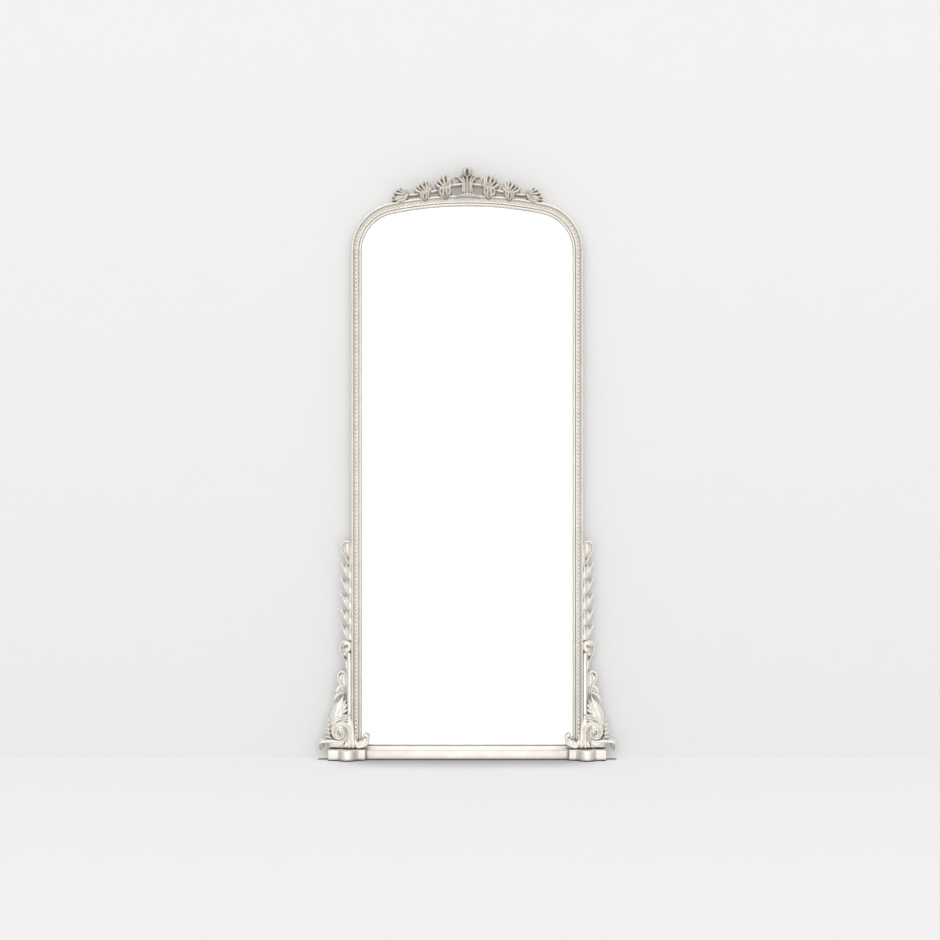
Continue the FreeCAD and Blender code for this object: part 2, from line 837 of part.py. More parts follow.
crown_turn = math.atan2(corner_x, crown_drop)
corner_run = (mm["corner_radius"] + bead_line) * (math.pi / 2 - crown_turn)
crown_run = (crown_radius + bead_line) * crown_turn
arch_beads = []
for along in spaced((corner_run + crown_run) * 2):
    side = 1 if along > corner_run + crown_run else -1
    from_middle = abs(along - corner_run - crown_run)
    if from_middle < crown_run:
        turn = from_middle / (crown_radius + bead_line)
        x = (crown_radius + bead_line) * math.sin(turn)
        z = crown_centre + (crown_radius + bead_line) * math.cos(turn)
    else:
        turn = crown_turn + (from_middle - crown_run) / (mm["corner_radius"] + bead_line)
        x = corner_x + (mm["corner_radius"] + bead_line) * math.sin(turn)
        z = mm["spring_height"] + (mm["corner_radius"] + bead_line) * math.cos(turn)
    arch_beads.append(make_bead(side * x, z))
arch_beading = add_shape(
    "arch_beading", Part.makeCompound(arch_beads), FreeCAD.Vector(0, bead_y, mm["spring_height"]),
)

# Carving: strokes of a chisel section along smooth curves, joined and coped to the moulding

leaf_section_shares = [(-1, 0), (1, 0), (0.9, 0.45), (0, 1), (-0.9, 0.45)]
ridge_section_shares = [(-1, 0), (1, 0), (0, 1)]
round_section_shares = [(-1, 0), (1, 0), (0.8, 0.8), (0, 1), (-0.8, 0.8)]
flute_section_shares = [(-1, 0), (1, 0), (1, 0.75), (0.6, 1), (0, 0.7), (-0.6, 1), (-1, 0.75)]
leaf_width_shares = [0.5, 1, 0.15]
leaf_rise_shares = [0.8, 1, 0.5]
leaf_bend_share = 0.11
leaf_steps = 2
even_shares = [1, 1]
sliver_share = 0.04


def share_at(shares, along):
    """A value part of the way along a list of evenly spaced shares."""
    spot = along * (len(shares) - 1)
    before = min(int(spot), len(shares) - 2)
    return shares[before] + (shares[before + 1] - shares[before]) * (spot - before)


def stroke(knots, half_width, relief, seat, section, steps, widths=even_shares, rises=even_shares):
    """One carved stroke along a smooth curve through places on the front of the mirror."""
    curve = Part.BSplineCurve()
    curve.interpolate([FreeCAD.Vector(x, 0, z) for x, z in knots])
    rings = []
    for step in range(steps + 1):
        along = step / steps
        here = curve.FirstParameter + (curve.LastParameter - curve.FirstParameter) * along
        middle = curve.value(here)
        heading = FreeCAD.Vector(*curve.tangent(here)[0])
        across = FreeCAD.Vector(-heading.z, 0, heading.x) * (half_width * share_at(widths, along))
        rise = relief * share_at(rises, along)
        rings.append([
            middle + across * out + FreeCAD.Vector(0, back_face - seat - rise * up, 0)
            for out, up in section
        ])
    return faceted(rings)


def leaf(root, tip, half_width, relief, seat, bend_share=leaf_bend_share):
    """A pointed leaf with a raised midrib, bowed to one side by a share of its length."""
    middle = (
        (root[0] + tip[0]) / 2 - (tip[1] - root[1]) * bend_share,
        (root[1] + tip[1]) / 2 + (tip[0] - root[0]) * bend_share,
    )
    return stroke(
        [root, middle, tip], half_width, relief, seat, ridge_section_shares, leaf_steps,
        leaf_width_shares, leaf_rise_shares,
    )


def carved(strokes, neighbours):
    """Strokes joined to one piece and cut back to the faces of the pieces that it meets."""
    shape = strokes[0].multiFuse(strokes[1:])
    for neighbour in neighbours:
        shape = shape.cut(neighbour.Shape)
    shape = shape.removeSplitter()
    pieces = sorted(shape.Solids, key=lambda solid: solid.Volume)
    if len(pieces) > 1 and pieces[-2].Volume > sliver_share * pieces[-1].Volume:
        raise RuntimeError("a carving has come apart: %s" % [round(piece.Volume) for piece in pieces])
    return pieces[-1]


doc.recompute()

# Crest: a fluted palmette on the crown, and a spray of leaves on an open stem to each side of it


def over_crown(x, height):
    """A place the given height above the outer edge of the crown."""
    reach = crown_radius + mm["moulding_width"]
    return (float(x), crown_centre + math.sqrt(reach * reach - x * x) + height)


palmette_middle_shares = [(0, -0.06), (0, 0.3), (0, 0.66)]
palmette_rib_shares = [(0.24, -0.06), (0.18, 0.37), (0.3, 0.66)]
palmette_petal_shares = [(0.22, 0.3), (0.36, 0.58), (0.62, 0.7), (0.86, 0.66), (0.92, 0.54)]
palmette_knob_shares = [(0.1, 0.58), (0.24, 0.8), (0.18, 0.99)]
palmette_ledge_shares = [(-1, -0.05), (-0.5, -0.02), (0, 0), (0.5, -0.02), (1, -0.05)]
petal_width_shares = [1, 1, 0.9, 0.75, 0.35]
knob_width_shares = [0.45, 0.95, 1, 0.8, 0.3]
knob_rise_shares = [0.8, 1, 1, 0.9, 0.6]
middle_rise_share = 0.85
ledge_rise_share = 1
rib_rise_share = 0.9
petal_share = 0.8
knob_share = 1.5


def palmette_spots(shares, side=1):
    return [
        over_crown(side * across * mm["palmette_half_width"], mm["crest_height"] * up)
        for across, up in shares
    ]


palmette_strokes = [
    stroke(
        palmette_spots(palmette_middle_shares), mm["rib_half_width"],
        mm["palmette_relief"] * middle_rise_share, mm["palmette_seat"], leaf_section_shares, 2,
    ),
    stroke(
        palmette_spots(palmette_ledge_shares), mm["rib_half_width"],
        mm["palmette_relief"] * ledge_rise_share, mm["palmette_seat"], round_section_shares, 4,
    ),
]
for side in (-1, 1):
    palmette_strokes += [
        stroke(
            palmette_spots(palmette_rib_shares, side), mm["rib_half_width"],
            mm["palmette_relief"] * rib_rise_share, mm["palmette_seat"], round_section_shares, 4,
        ),
        stroke(
            palmette_spots(palmette_petal_shares, side), mm["rib_half_width"] * petal_share,
            mm["palmette_relief"] * petal_share, mm["palmette_seat"], leaf_section_shares, 5,
            petal_width_shares, petal_width_shares,
        ),
        stroke(
            palmette_spots(palmette_knob_shares, side), mm["rib_half_width"] * knob_share,
            mm["palmette_relief"], mm["palmette_seat"], round_section_shares, 4,
            knob_width_shares, knob_rise_shares,
        ),
    ]
crest_palmette = add_shape(
    "crest_palmette", carved(palmette_strokes, [arch, arch_beading]),
    FreeCAD.Vector(0, back_face - mm["palmette_seat"], sight_top + mm["moulding_width"]),
)

stem_shares = [(0.06, 0.4), (0.21, 0.37), (0.41, 0.3), (0.61, 0.21), (0.79, 0.2), (0.97, 0.0)]
stem_width_shares = [1, 1, 1, 1, 0.9, 0.6]
stem_rise_share = 0.6
spray_shares = [
    ((0.29, 0.36), [
        (0.215, 0.55, 1), (0.286, 0.72, 1), (0.351, 0.7, 1), (0.404, 0.59, 1), (0.437, 0.46, 0.83),
        (0.235, -0.04, 1), (0.29, -0.12, 1.33), (0.35, -0.05, 1),
    ]),
    ((0.525, 0.28), [
        (0.492, 0.49, 0.83), (0.584, 0.55, 1), (0.68, 0.43, 1), (0.5, -0.04, 1), (0.585, -0.1, 1.33),
    ]),
    ((0.79, 0.2), [(0.915, 0.47, 0.83), (0.945, 0.31, 0.83), (0.88, -0.09, 1), (0.95, -0.05, 0.83)]),
]


def spray_spot(across, up):
    return over_crown(across * mm["crest_half_width"], mm["crest_height"] * up)


spray_strokes = [stroke(
    [spray_spot(*share) for share in stem_shares], mm["stem_half_width"],
    mm["crest_relief"] * stem_rise_share, mm["crest_seat"], round_section_shares, 8, stem_width_shares,
)]
for root, tips in spray_shares:
    for across, up, width_share in tips:
        spray_strokes.append(leaf(
            spray_spot(*root), spray_spot(across, up), mm["crest_leaf_half_width"] * width_share,
            mm["crest_relief"], mm["crest_seat"], leaf_bend_share if up > root[1] else -leaf_bend_share,
        ))
right_crest_spray = add_shape(
    "right_crest_spray", carved(spray_strokes, [arch, arch_beading, crest_palmette]),
    FreeCAD.Vector(0, back_face - mm["crest_seat"], sight_top + mm["moulding_width"]),
)
left_crest_spray = mirror_subpart(right_crest_spray, "left_crest_spray")

# Foot brackets: carved pieces that stand on the plinth blocks against the outside of the stiles


def bracket_spot(across, up):
    return (outer_half_width + mm["bracket_width"] * across, plinth_top + mm["bracket_height"] * up)


def place_on_side(seat, height):
    return FreeCAD.Vector(outer_half_width, back_face - seat, height)


volute_centre_share = (0.36, 0.3)
volute_start_share = 0.255
volute_end_share = 0.045
volute_steps = 16
shaft_steps = 3
volute_turn = math.radians(530)
volute_first = math.radians(128)
volute_shrink = math.log(volute_start_share / volute_end_share) / volute_turn


def volute_spot(centre, start_radius, shrink, first, turn):
    """A place on a spiral that winds clockwise and shrinks at a steady rate."""
    radius = start_radius * math.exp(-shrink * turn)
    return (centre[0] + radius * math.cos(first - turn), centre[1] + radius * math.sin(first - turn))


shaft_shares = [(0.085, -0.02), (0.075, 0.2), (0.075, 0.4)]
volute_knots = [bracket_spot(*share) for share in shaft_shares] + [
    volute_spot(
        bracket_spot(*volute_centre_share), mm["bracket_height"] * volute_start_share, volute_shrink,
        volute_first, volute_turn * knot / volute_steps,
    )
    for knot in range(volute_steps + 1)
]
ground_shares = [
    (-0.02, -0.02), (0.66, -0.02), (0.7, 0.28), (0.6, 0.48), (0.4, 0.57), (-0.02, 0.62),
]
flute_shares = [(-0.045, 0.5), (-0.04, 0.25), (-0.05, -0.02)]
toe_shares = [[(0.1, 0.12), (0.13, -0.02)], [(-0.03, 0.12), (-0.04, -0.02)], [(-0.13, 0.2), (-0.15, -0.02)]]
toe_width_shares = [0.88, 1.265, 1.1]
toe_rise_shares = [0.98, 1.4, 1.12]
volute_width_shares = [1.3, 1.25, 1.2, 1.15, 1.05, 0.9, 0.7]
volute_rise_shares = [0.95, 0.95, 0.95, 0.95, 1, 1, 1]
ground_rise_share = 0.6
foot_seat = mm["side_depth"] - mm["roll_rise"]
ground = Part.Face(Part.makePolygon([
    FreeCAD.Vector(x, back_face - mm["bracket_seat"], z)
    for x, z in [bracket_spot(*share) for share in ground_shares + ground_shares[:1]]
])).extrude(FreeCAD.Vector(0, -mm["bracket_relief"] * ground_rise_share, 0))
volute_strokes = [
    ground,
    stroke(
        volute_knots, mm["volute_half_width"], mm["bracket_relief"], mm["bracket_seat"],
        flute_section_shares, volute_steps + shaft_steps, volute_width_shares, volute_rise_shares,
    ),
    stroke(
        [bracket_spot(*share) for share in flute_shares], mm["shaft_half_width"],
        mm["shaft_relief"] + mm["roll_rise"], foot_seat, round_section_shares, 3,
    ),
]
for toe in toe_shares:
    volute_strokes.append(stroke(
        [bracket_spot(*toe[0]), bracket_spot(*toe[1])], mm["shaft_half_width"], mm["shaft_relief"],
        foot_seat, round_section_shares, 2, toe_width_shares, toe_rise_shares,
    ))
right_base_volute = add_shape(
    "right_base_volute",
    carved(volute_strokes, [right_stile, right_plinth_block, bottom_rail, right_beading]),
    place_on_side(mm["bracket_seat"], plinth_top),
)
left_base_volute = mirror_subpart(right_base_volute, "left_base_volute")

acanthus_shares = [
    [(0.6, 0.4), (0.6, 0.68), (0.2, 1)],
    [(0.58, 0.42), (0.46, 0.74), (0.12, 0.91)],
    [(0.54, 0.42), (0.36, 0.68), (0.06, 0.81)],
    [(0.5, 0.42), (0.3, 0.6), (0.01, 0.7)],
    [(0.62, 0.4), (0.64, 0.62), (0.42, 0.92)],
]
acanthus_width_shares = [0.4, 0.95, 1, 0.7, 0.12]
acanthus_rise_shares = [0.56, 0.8, 0.8, 0.68, 0.4]
acanthus_strokes = [
    stroke(
        [bracket_spot(*share) for share in shares], mm["acanthus_half_width"], mm["bracket_relief"],
        mm["bracket_seat"], leaf_section_shares, 5, acanthus_width_shares, acanthus_rise_shares,
    )
    for shares in acanthus_shares
]
right_acanthus_leaf = add_shape(
    "right_acanthus_leaf", carved(acanthus_strokes, [right_stile, right_base_volute]),
    place_on_side(mm["bracket_seat"], plinth_top + mm["bracket_height"] / 2),
)
left_acanthus_leaf = mirror_subpart(right_acanthus_leaf, "left_acanthus_leaf")

wave_shares = [
    (0.1, 0.13), (0.26, 0.05), (0.46, 0.05), (0.68, 0.11), (0.82, 0.15), (0.93, 0.1), (0.93, 0.01),
    (0.86, -0.03),
]
wave_width_shares = [0.8, 1, 1, 1.1, 1.1, 1, 0.9, 0.6]
wave_rise_share = 0.85
back_band_shares = [(0.6, 0.12), (0.64, 0.3), (0.58, 0.52)]
back_band_rise_share = 0.55
gadroon_rise_share = 0.65
gadroon_shares = [
    ((0.53, 0.5), (0.67, 0.6)), ((0.56, 0.43), (0.73, 0.51)), ((0.58, 0.35), (0.77, 0.42)),
    ((0.59, 0.27), (0.79, 0.33)), ((0.58, 0.19), (0.78, 0.23)),
]
foot_strokes = [stroke(
    [bracket_spot(*share) for share in wave_shares], mm["wave_half_width"],
    mm["bracket_relief"] * wave_rise_share, mm["bracket_seat"], flute_section_shares, 10,
    wave_width_shares,
)]
foot_strokes.append(stroke(
    [bracket_spot(*share) for share in back_band_shares], mm["acanthus_half_width"],
    mm["bracket_relief"] * back_band_rise_share, mm["bracket_seat"], round_section_shares, 3,
))
for root, tip in gadroon_shares:
    foot_strokes.append(leaf(
        bracket_spot(*root), bracket_spot(*tip), mm["acanthus_half_width"],
        mm["bracket_relief"] * gadroon_rise_share, mm["bracket_seat"],
    ))
right_foot_leaf = add_shape(
    "right_foot_leaf",
    carved(foot_strokes, [right_stile, right_plinth_block, right_base_volute, right_acanthus_leaf]),
    place_on_side(mm["bracket_seat"], plinth_top),
)
left_foot_leaf = mirror_subpart(right_foot_leaf, "left_foot_leaf")

corner_curl_shares = [(-0.17, 0.02), (-0.33, 0.05), (-0.48, 0.1), (-0.53, 0.2), (-0.46, 0.27), (-0.4, 0.21)]
curl_width_shares = [1.2, 1.1, 1, 0.9, 0.75, 0.5]
corner_leaf_shares = [(-0.16, 0.03), (-0.43, 0.15)]
corner_leaf_width_share = 1.3
corner_leaf_rise_share = 0.8
corner_strokes = [
    stroke(
        [bracket_spot(*share) for share in corner_curl_shares], mm["curl_half_width"],
        mm["shaft_relief"], foot_seat + mm["shaft_relief"] / 2, round_section_shares, 6,
        curl_width_shares,
    ),
    leaf(
        bracket_spot(*corner_leaf_shares[0]), bracket_spot(*corner_leaf_shares[1]),
        mm["curl_half_width"] * corner_leaf_width_share, mm["shaft_relief"] * corner_leaf_rise_share,
        foot_seat + mm["shaft_relief"] / 2,
    ),
]
right_corner_leaf = add_shape(
    "right_corner_leaf",
    carved(corner_strokes, [right_stile, right_plinth_block, bottom_rail, right_base_volute]),
    place_on_side(mm["bracket_seat"], plinth_top),
)
left_corner_leaf = mirror_subpart(right_corner_leaf, "left_corner_leaf")

# Strips up the outside of the stiles: a plain strip with a scroll medallion, a side scroll on its
# outer edge, and a drop of five husks under a hook

strip_foot_share = 0.5
strip_head_share = 0.8
medallion_across_share = 0.8
strip_x = outer_half_width + mm["strip_width"] / 2
strip_foot = plinth_top + mm["bracket_height"] * strip_foot_share
medallion_spot = (
    outer_half_width + mm["strip_width"] * medallion_across_share, plinth_top + mm["medallion_height"],
)
medallion_turn = math.radians(480)
medallion_first = math.radians(-80)
medallion_end_share = 0.25
medallion_shrink = -math.log(medallion_end_share) / medallion_turn
medallion_steps = 14
medallion_knots = []
for knot in range(medallion_steps + 1):
    turn = medallion_turn * knot / medallion_steps
    radius = mm["medallion_radius"] * math.exp(-medallion_shrink * turn)
    medallion_knots.append((
        medallion_spot[0] + radius * math.cos(medallion_first + turn),
        medallion_spot[1] + radius * math.sin(medallion_first + turn),
    ))
disc_sides = 10
coil_width_shares = [1, 1, 0.9, 0.8]
coil_rise_shares = [1.035, 1.15, 1.15, 1.15]
coil_half_width_share = 0.2
disc_rise_share = 0.55
disc = Part.Face(Part.makePolygon([
    FreeCAD.Vector(
        medallion_spot[0] + mm["medallion_radius"] * math.cos(math.tau * corner / disc_sides),
        back_face - mm["drop_seat"],
        medallion_spot[1] + mm["medallion_radius"] * math.sin(math.tau * corner / disc_sides),
    )
    for corner in range(disc_sides + 1)
])).extrude(FreeCAD.Vector(0, -mm["strip_relief"] * disc_rise_share, 0))
strip_strokes = [
    disc,
    stroke(
        medallion_knots, mm["medallion_radius"] * coil_half_width_share, mm["strip_relief"],
        mm["drop_seat"], round_section_shares, 11, coil_width_shares, coil_rise_shares,
    ),
    stroke(
        [(strip_x, strip_foot), (strip_x, medallion_spot[1] - mm["medallion_radius"] * strip_head_share)],
        mm["strip_width"] / 2, mm["strip_relief"], mm["drop_seat"], flute_section_shares, 1,
    ),
]
right_scroll_strip = add_shape(
    "right_scroll_strip", carved(strip_strokes, [right_stile, right_base_volute, right_acanthus_leaf]),
    place_on_side(mm["drop_seat"], strip_foot),
)
left_scroll_strip = mirror_subpart(right_scroll_strip, "left_scroll_strip")


def scroll_spot(across, up):
    foot = plinth_top + mm["scroll_foot"]
    return (outer_half_width + mm["scroll_width"] * across, foot + mm["scroll_height"] * up)


side_scroll_shares = [
    (0.2, 0.8), (0.42, 0.95), (0.66, 0.89), (0.75, 0.69), (0.63, 0.49), (0.44, 0.33), (0.36, 0.1),
]
scroll_leaf_shares = [
    ((0.28, 0.78), (0.42, 0.36), 1.4), ((0.42, 0.36), (0.86, 0.3), 1.0), ((0.38, 0.16), (0.97, 0.02), 1.0),
    ((0.3, 0.3), (0.36, -0.06), 1.2),
]
scroll_leaf_rise_share = 0.9
scroll_strokes = [stroke(
    [scroll_spot(*share) for share in side_scroll_shares], mm["scroll_half_width"], mm["strip_relief"],
    mm["drop_seat"], round_section_shares, 8,
)]
for root, tip, width_share in scroll_leaf_shares:
    scroll_strokes.append(leaf(
        scroll_spot(*root), scroll_spot(*tip), mm["scroll_half_width"] * width_share,
        mm["strip_relief"] * scroll_leaf_rise_share, mm["drop_seat"],
    ))
right_side_scroll = add_shape(
    "right_side_scroll",
    carved(scroll_strokes, [right_stile, right_scroll_strip, right_acanthus_leaf, right_base_volute]),
    place_on_side(mm["drop_seat"], plinth_top + mm["scroll_foot"]),
)
left_side_scroll = mirror_subpart(right_side_scroll, "left_side_scroll")


def drop_spot(across, up):
    foot = plinth_top + mm["drop_foot"]
    return (outer_half_width + mm["drop_width"] * across, foot + mm["drop_height"] * up)


hook_shares = [
    (-0.06, 0.95), (0.38, 0.985), (0.78, 0.95), (0.88, 0.895), (0.67, 0.85), (0.36, 0.81), (0.3, 0.76),
]
hook_share = 0.8
husk_count = 5
husks_share = 0.79
husk_share = husks_share / husk_count
husk_root_share = 0.36
husk_tuck_share = 0.25
husk_petal_shares = [(0.98, 1.02, 1.1, -0.14), (-0.02, 0.98, 1.1, 0.1), (0.36, 0.9, 1.3, 0)]
drop_strokes = [stroke(
    [drop_spot(*share) for share in hook_shares], mm["scroll_half_width"] * hook_share,
    mm["drop_relief"] * hook_share, mm["drop_seat"], round_section_shares, 8,
)]
for husk in range(husk_count):
    root = drop_spot(husk_root_share, (husk - husk_tuck_share) * husk_share)
    for across, top, width_share, bend_share in husk_petal_shares:
        drop_strokes.append(leaf(
            root, drop_spot(across, (husk + top) * husk_share), mm["scroll_half_width"] * width_share,
            mm["drop_relief"], mm["drop_seat"], bend_share,
        ))
right_husk_drop = add_shape(
    "right_husk_drop", carved(drop_strokes, [right_stile, right_scroll_strip]),
    place_on_side(mm["drop_seat"], plinth_top + mm["drop_foot"]),
)
left_husk_drop = mirror_subpart(right_husk_drop, "left_husk_drop")

# Each object and each piece is checked before the pieces are written

doc.recompute()
for item in doc.Objects:
    if "Invalid" in item.State or "Error" in item.State:
        raise RuntimeError(item.Name + " failed")
for item in subparts:
    if item.Shape.isNull() or not item.Shape.isValid():
        raise RuntimeError(item.Label + " has no valid shape")
os.makedirs("parts", exist_ok=True)
for item in subparts:
    item.Shape.exportStep("parts/%s.step" % item.Label)
    print(item.Label, len(item.Shape.Solids), "solids", len(item.Shape.Faces), "faces")
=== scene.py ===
import math
import random

import bmesh
import bpy
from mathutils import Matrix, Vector


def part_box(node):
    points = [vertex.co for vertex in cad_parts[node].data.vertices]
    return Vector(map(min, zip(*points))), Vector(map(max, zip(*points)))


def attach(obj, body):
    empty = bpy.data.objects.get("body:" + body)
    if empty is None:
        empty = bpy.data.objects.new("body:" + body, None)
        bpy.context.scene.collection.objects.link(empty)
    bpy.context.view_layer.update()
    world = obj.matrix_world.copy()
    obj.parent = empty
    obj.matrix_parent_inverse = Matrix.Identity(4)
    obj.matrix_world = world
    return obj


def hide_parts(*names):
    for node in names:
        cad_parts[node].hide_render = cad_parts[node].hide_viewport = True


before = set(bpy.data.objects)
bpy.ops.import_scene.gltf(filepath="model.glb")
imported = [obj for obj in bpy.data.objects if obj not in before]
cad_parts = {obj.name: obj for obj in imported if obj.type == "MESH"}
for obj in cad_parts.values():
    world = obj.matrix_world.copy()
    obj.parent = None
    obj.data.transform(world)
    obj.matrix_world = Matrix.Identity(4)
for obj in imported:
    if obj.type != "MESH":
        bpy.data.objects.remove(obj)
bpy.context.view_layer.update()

# The stiles are two straight lengths of pine moulding: an inner roll by the glass, a quirk, a flat
# channel for the beads and an outer roll. They are gessoed, covered in silver leaf and toned down,
# and stand on the plinth blocks on blind dowels.

mm = 0.001
hands = ((1, "right"), (-1, "left"))
stile_low, stile_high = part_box("right_stile")
sight_half = stile_low.x
outer_half = stile_high.x
back_face = stile_high.y
spring_height = stile_high.z
plinth_top = stile_low.z
moulding_width = outer_half - sight_half
glass_back_depth = 20 * mm
lip_back_depth = 24 * mm
lip_front_depth = 32 * mm
roll_top_depth = 36 * mm
channel_depth = 39 * mm
side_depth = 43 * mm
inner_roll_width = 10 * mm
channel_start = 11 * mm
channel_end = 27 * mm
glass_rebate = 8 * mm
board_rebate = 20 * mm


def linear(code):
    """An sRGB hex colour as linear red, green, blue and alpha."""
    parts = [int(code[place:place + 2], 16) / 255 for place in (1, 3, 5)]
    return [part / 12.92 if part <= 0.04045 else ((part + 0.055) / 1.055) ** 2.4 for part in parts] + [1]


def add_node(tree, kind, settings=(), values=(), links=()):
    """Adds a node to a material with its settings, its fixed inputs and its links."""
    made = tree.nodes.new(kind)
    for key, value in dict(settings).items():
        setattr(made, key, value)
    for socket, value in dict(values).items():
        made.inputs[socket].default_value = value
    for socket, source in dict(links).items():
        tree.links.new(source, made.inputs[socket])
    return made


def start_material(name, **constants):
    """A new material, its node tree and its shader, with constants on the shader's own sockets."""
    material = bpy.data.materials.new(name)
    material.use_nodes = True
    tree = material.node_tree
    shader = tree.nodes["Principled BSDF"]
    for socket, value in constants.items():
        shader.inputs[socket.replace("_", " ")].default_value = value
    return material, tree, shader


def arc_points(start, end, share, steps):
    """Points from start to end on an arc whose radius is a share of their distance. A positive share
    bows to the left of the way, a negative one to the right."""
    run, rise = end[0] - start[0], end[1] - start[1]
    side = 1 if share > 0 else -1
    half_turn = math.asin(min(0.5 / abs(share), 1))
    points = []
    for step in range(steps + 1):
        turn = half_turn * (2 * step / steps - 1)
        along = 0.5 + abs(share) * math.sin(turn)
        out = side * abs(share) * (math.cos(turn) - math.cos(half_turn))
        points.append((start[0] + run * along - rise * out, start[1] + rise * along + run * out))
    return points


def finish_piece(name, mesh, material, nodes, body="frame", sharp_degrees=35):
    """Puts a mesh in the scene as a piece that stands for CAD nodes and rides with their body."""
    mesh.materials.clear()
    mesh.materials.append(material)
    mesh.shade_smooth()
    mesh.set_sharp_from_angle(angle=math.radians(sharp_degrees))
    piece = bpy.data.objects.new(name, mesh)
    bpy.context.scene.collection.objects.link(piece)
    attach(piece, body)
    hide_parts(*nodes)
    return piece


def closed_mesh(name, solids, looped=False):
    """A mesh of closed solids, each a list of rings of points. The end rings are capped, or joined to
    each other where the solid is looped."""
    shape = bmesh.new()
    for rings in solids:
        rows = [[shape.verts.new(point) for point in ring] for ring in rings]
        following = rows[1:] + (rows[:1] if looped else [])
        for one, two in zip(rows, following):
            for near, after, far_after, far in zip(one, one[1:] + one[:1], two[1:] + two[:1], two):
                shape.faces.new((near, after, far_after, far))
        if not looped:
            shape.faces.new(rows[0][::-1])
            shape.faces.new(rows[-1])
    bmesh.ops.recalc_face_normals(shape, faces=shape.faces)
    mesh = bpy.data.meshes.new(name)
    shape.to_mesh(mesh)
    shape.free()
    return mesh


def shaped(mesh, modifiers):
    """The mesh after some modifiers, each given as its kind and settings."""
    holder = bpy.data.objects.new("holder", mesh)
    bpy.context.scene.collection.objects.link(holder)
    for kind, settings in modifiers:
        modifier = holder.modifiers.new(kind.lower(), kind)
        for key, value in settings.items():
            setattr(modifier, key, value)
    made = bpy.data.meshes.new_from_object(holder.evaluated_get(bpy.context.evaluated_depsgraph_get()))
    bpy.data.objects.remove(holder)
    return made


def softened(mesh, width, segments=2):
    """The mesh with its edges sharper than 30 degrees eased, as gesso leaves them."""
    return shaped(mesh, [("BEVEL", {
        "width": width, "segments": segments, "limit_method": "ANGLE", "angle_limit": math.radians(30),
    })])


moulding_section = [
    (moulding_width, 0), (board_rebate, 0), (board_rebate, glass_back_depth),
    (glass_rebate, glass_back_depth), (glass_rebate, lip_back_depth), (0, lip_back_depth),
    *arc_points((0, lip_front_depth), (inner_roll_width, roll_top_depth), 0.56, 10),
    (channel_start, roll_top_depth), (channel_start, channel_depth), (channel_end, channel_depth),
    *arc_points((channel_end, side_depth), (moulding_width, side_depth), 0.55, 10),
]

# Antique silver: genuine leaf over a warm clay, burnished and then toned with a thin wash. It gives
# a soft, champagne-white gleam on what stands proud, and a grey-brown colour in what lies back, which
# is partly the wash and partly painted shade.


def antique_silver(name, proud, worn, wash_and_shade_colour, wash_and_shade_reach, wash_and_shade_range, roughness):
    material, tree, shader = start_material(name, Metallic=0.6)
    place = add_node(tree, "ShaderNodeTexCoord").outputs["Object"]
    # The wash clouds the leaf in patches some 35 mm across.
    cloud = add_node(
        tree, "ShaderNodeTexNoise", values={"Scale": 1 / (35 * mm), "Detail": 5, "Roughness": 0.6},
        links={"Vector": place},
    )
    # Rubbing leaves specks of about 2 mm.
    speck = add_node(
        tree, "ShaderNodeTexNoise", values={"Scale": 1 / (2.2 * mm), "Detail": 3}, links={"Vector": place},
    )
    # Painted shade as well as wash: the more closed in a spot is, the nearer its colour goes to the dark
    # grey-brown.
    open_share = add_node(
        tree, "ShaderNodeAmbientOcclusion", settings={"samples": 8}, values={"Distance": wash_and_shade_reach},
    )
    wash_and_shade = add_node(
        tree, "ShaderNodeMapRange", settings={"interpolation_type": "SMOOTHSTEP"},
        values={"From Min": wash_and_shade_range[0], "From Max": wash_and_shade_range[1]},
        links={"Value": open_share.outputs["AO"]},
    )
    patch = add_node(
        tree, "ShaderNodeMapRange", values={"From Min": 0.35, "From Max": 0.68, "To Max": 0.8},
        links={"Value": cloud.outputs["Fac"]},
    )
    leaf = add_node(
        tree, "ShaderNodeMix", settings={"data_type": "RGBA"},
        values={"A": linear(proud), "B": linear(worn)}, links={"Factor": patch.outputs["Result"]},
    )
    flecked = add_node(
        tree, "ShaderNodeMix", settings={"data_type": "RGBA", "blend_type": "SOFT_LIGHT"},
        values={"Factor": 0.35}, links={"A": leaf.outputs["Result"], "B": speck.outputs["Color"]},
    )
    washed_and_shaded = add_node(
        tree, "ShaderNodeMix", settings={"data_type": "RGBA"}, values={"A": linear(wash_and_shade_colour)},
        links={"Factor": wash_and_shade.outputs["Result"], "B": flecked.outputs["Result"]},
    )
    dull = add_node(
        tree, "ShaderNodeMapRange",
        values={"From Min": 0.3, "From Max": 0.7, "To Min": roughness - 0.03, "To Max": roughness + 0.03},
        links={"Value": cloud.outputs["Fac"]},
    )
    # Brushed gesso is never quite flat, so the specks also stand a few hundredths of a millimetre up.
    brushed = add_node(
        tree, "ShaderNodeBump", values={"Strength": 0.12, "Distance": 0.3 * mm},
        links={"Height": speck.outputs["Fac"]},
    )
    tree.links.new(washed_and_shaded.outputs["Result"], shader.inputs["Base Color"])
    tree.links.new(dull.outputs["Result"], shader.inputs["Roughness"])
    tree.links.new(brushed.outputs["Normal"], shader.inputs["Normal"])
    return material


silver_moulding = antique_silver(
    "silver_leaf_moulding", "#EDE9E2", "#E4DFD6", "#ADA497",
    wash_and_shade_reach=13 * mm, wash_and_shade_range=(0.53, 0.95), roughness=0.42,
)


def moulding_run(name, stations, nodes):
    """A length of moulding whose section is set out at each station from the sight edge."""
    rings = []
    for foot, outward in stations:
        rings.append([
            Vector((foot[0] + outward[0] * out, back_face - depth, foot[1] + outward[1] * out))
            for out, depth in moulding_section
        ])
    mesh = softened(closed_mesh(name, [rings]), width=0.5 * mm)
    return finish_piece(name, mesh, silver_moulding, nodes)


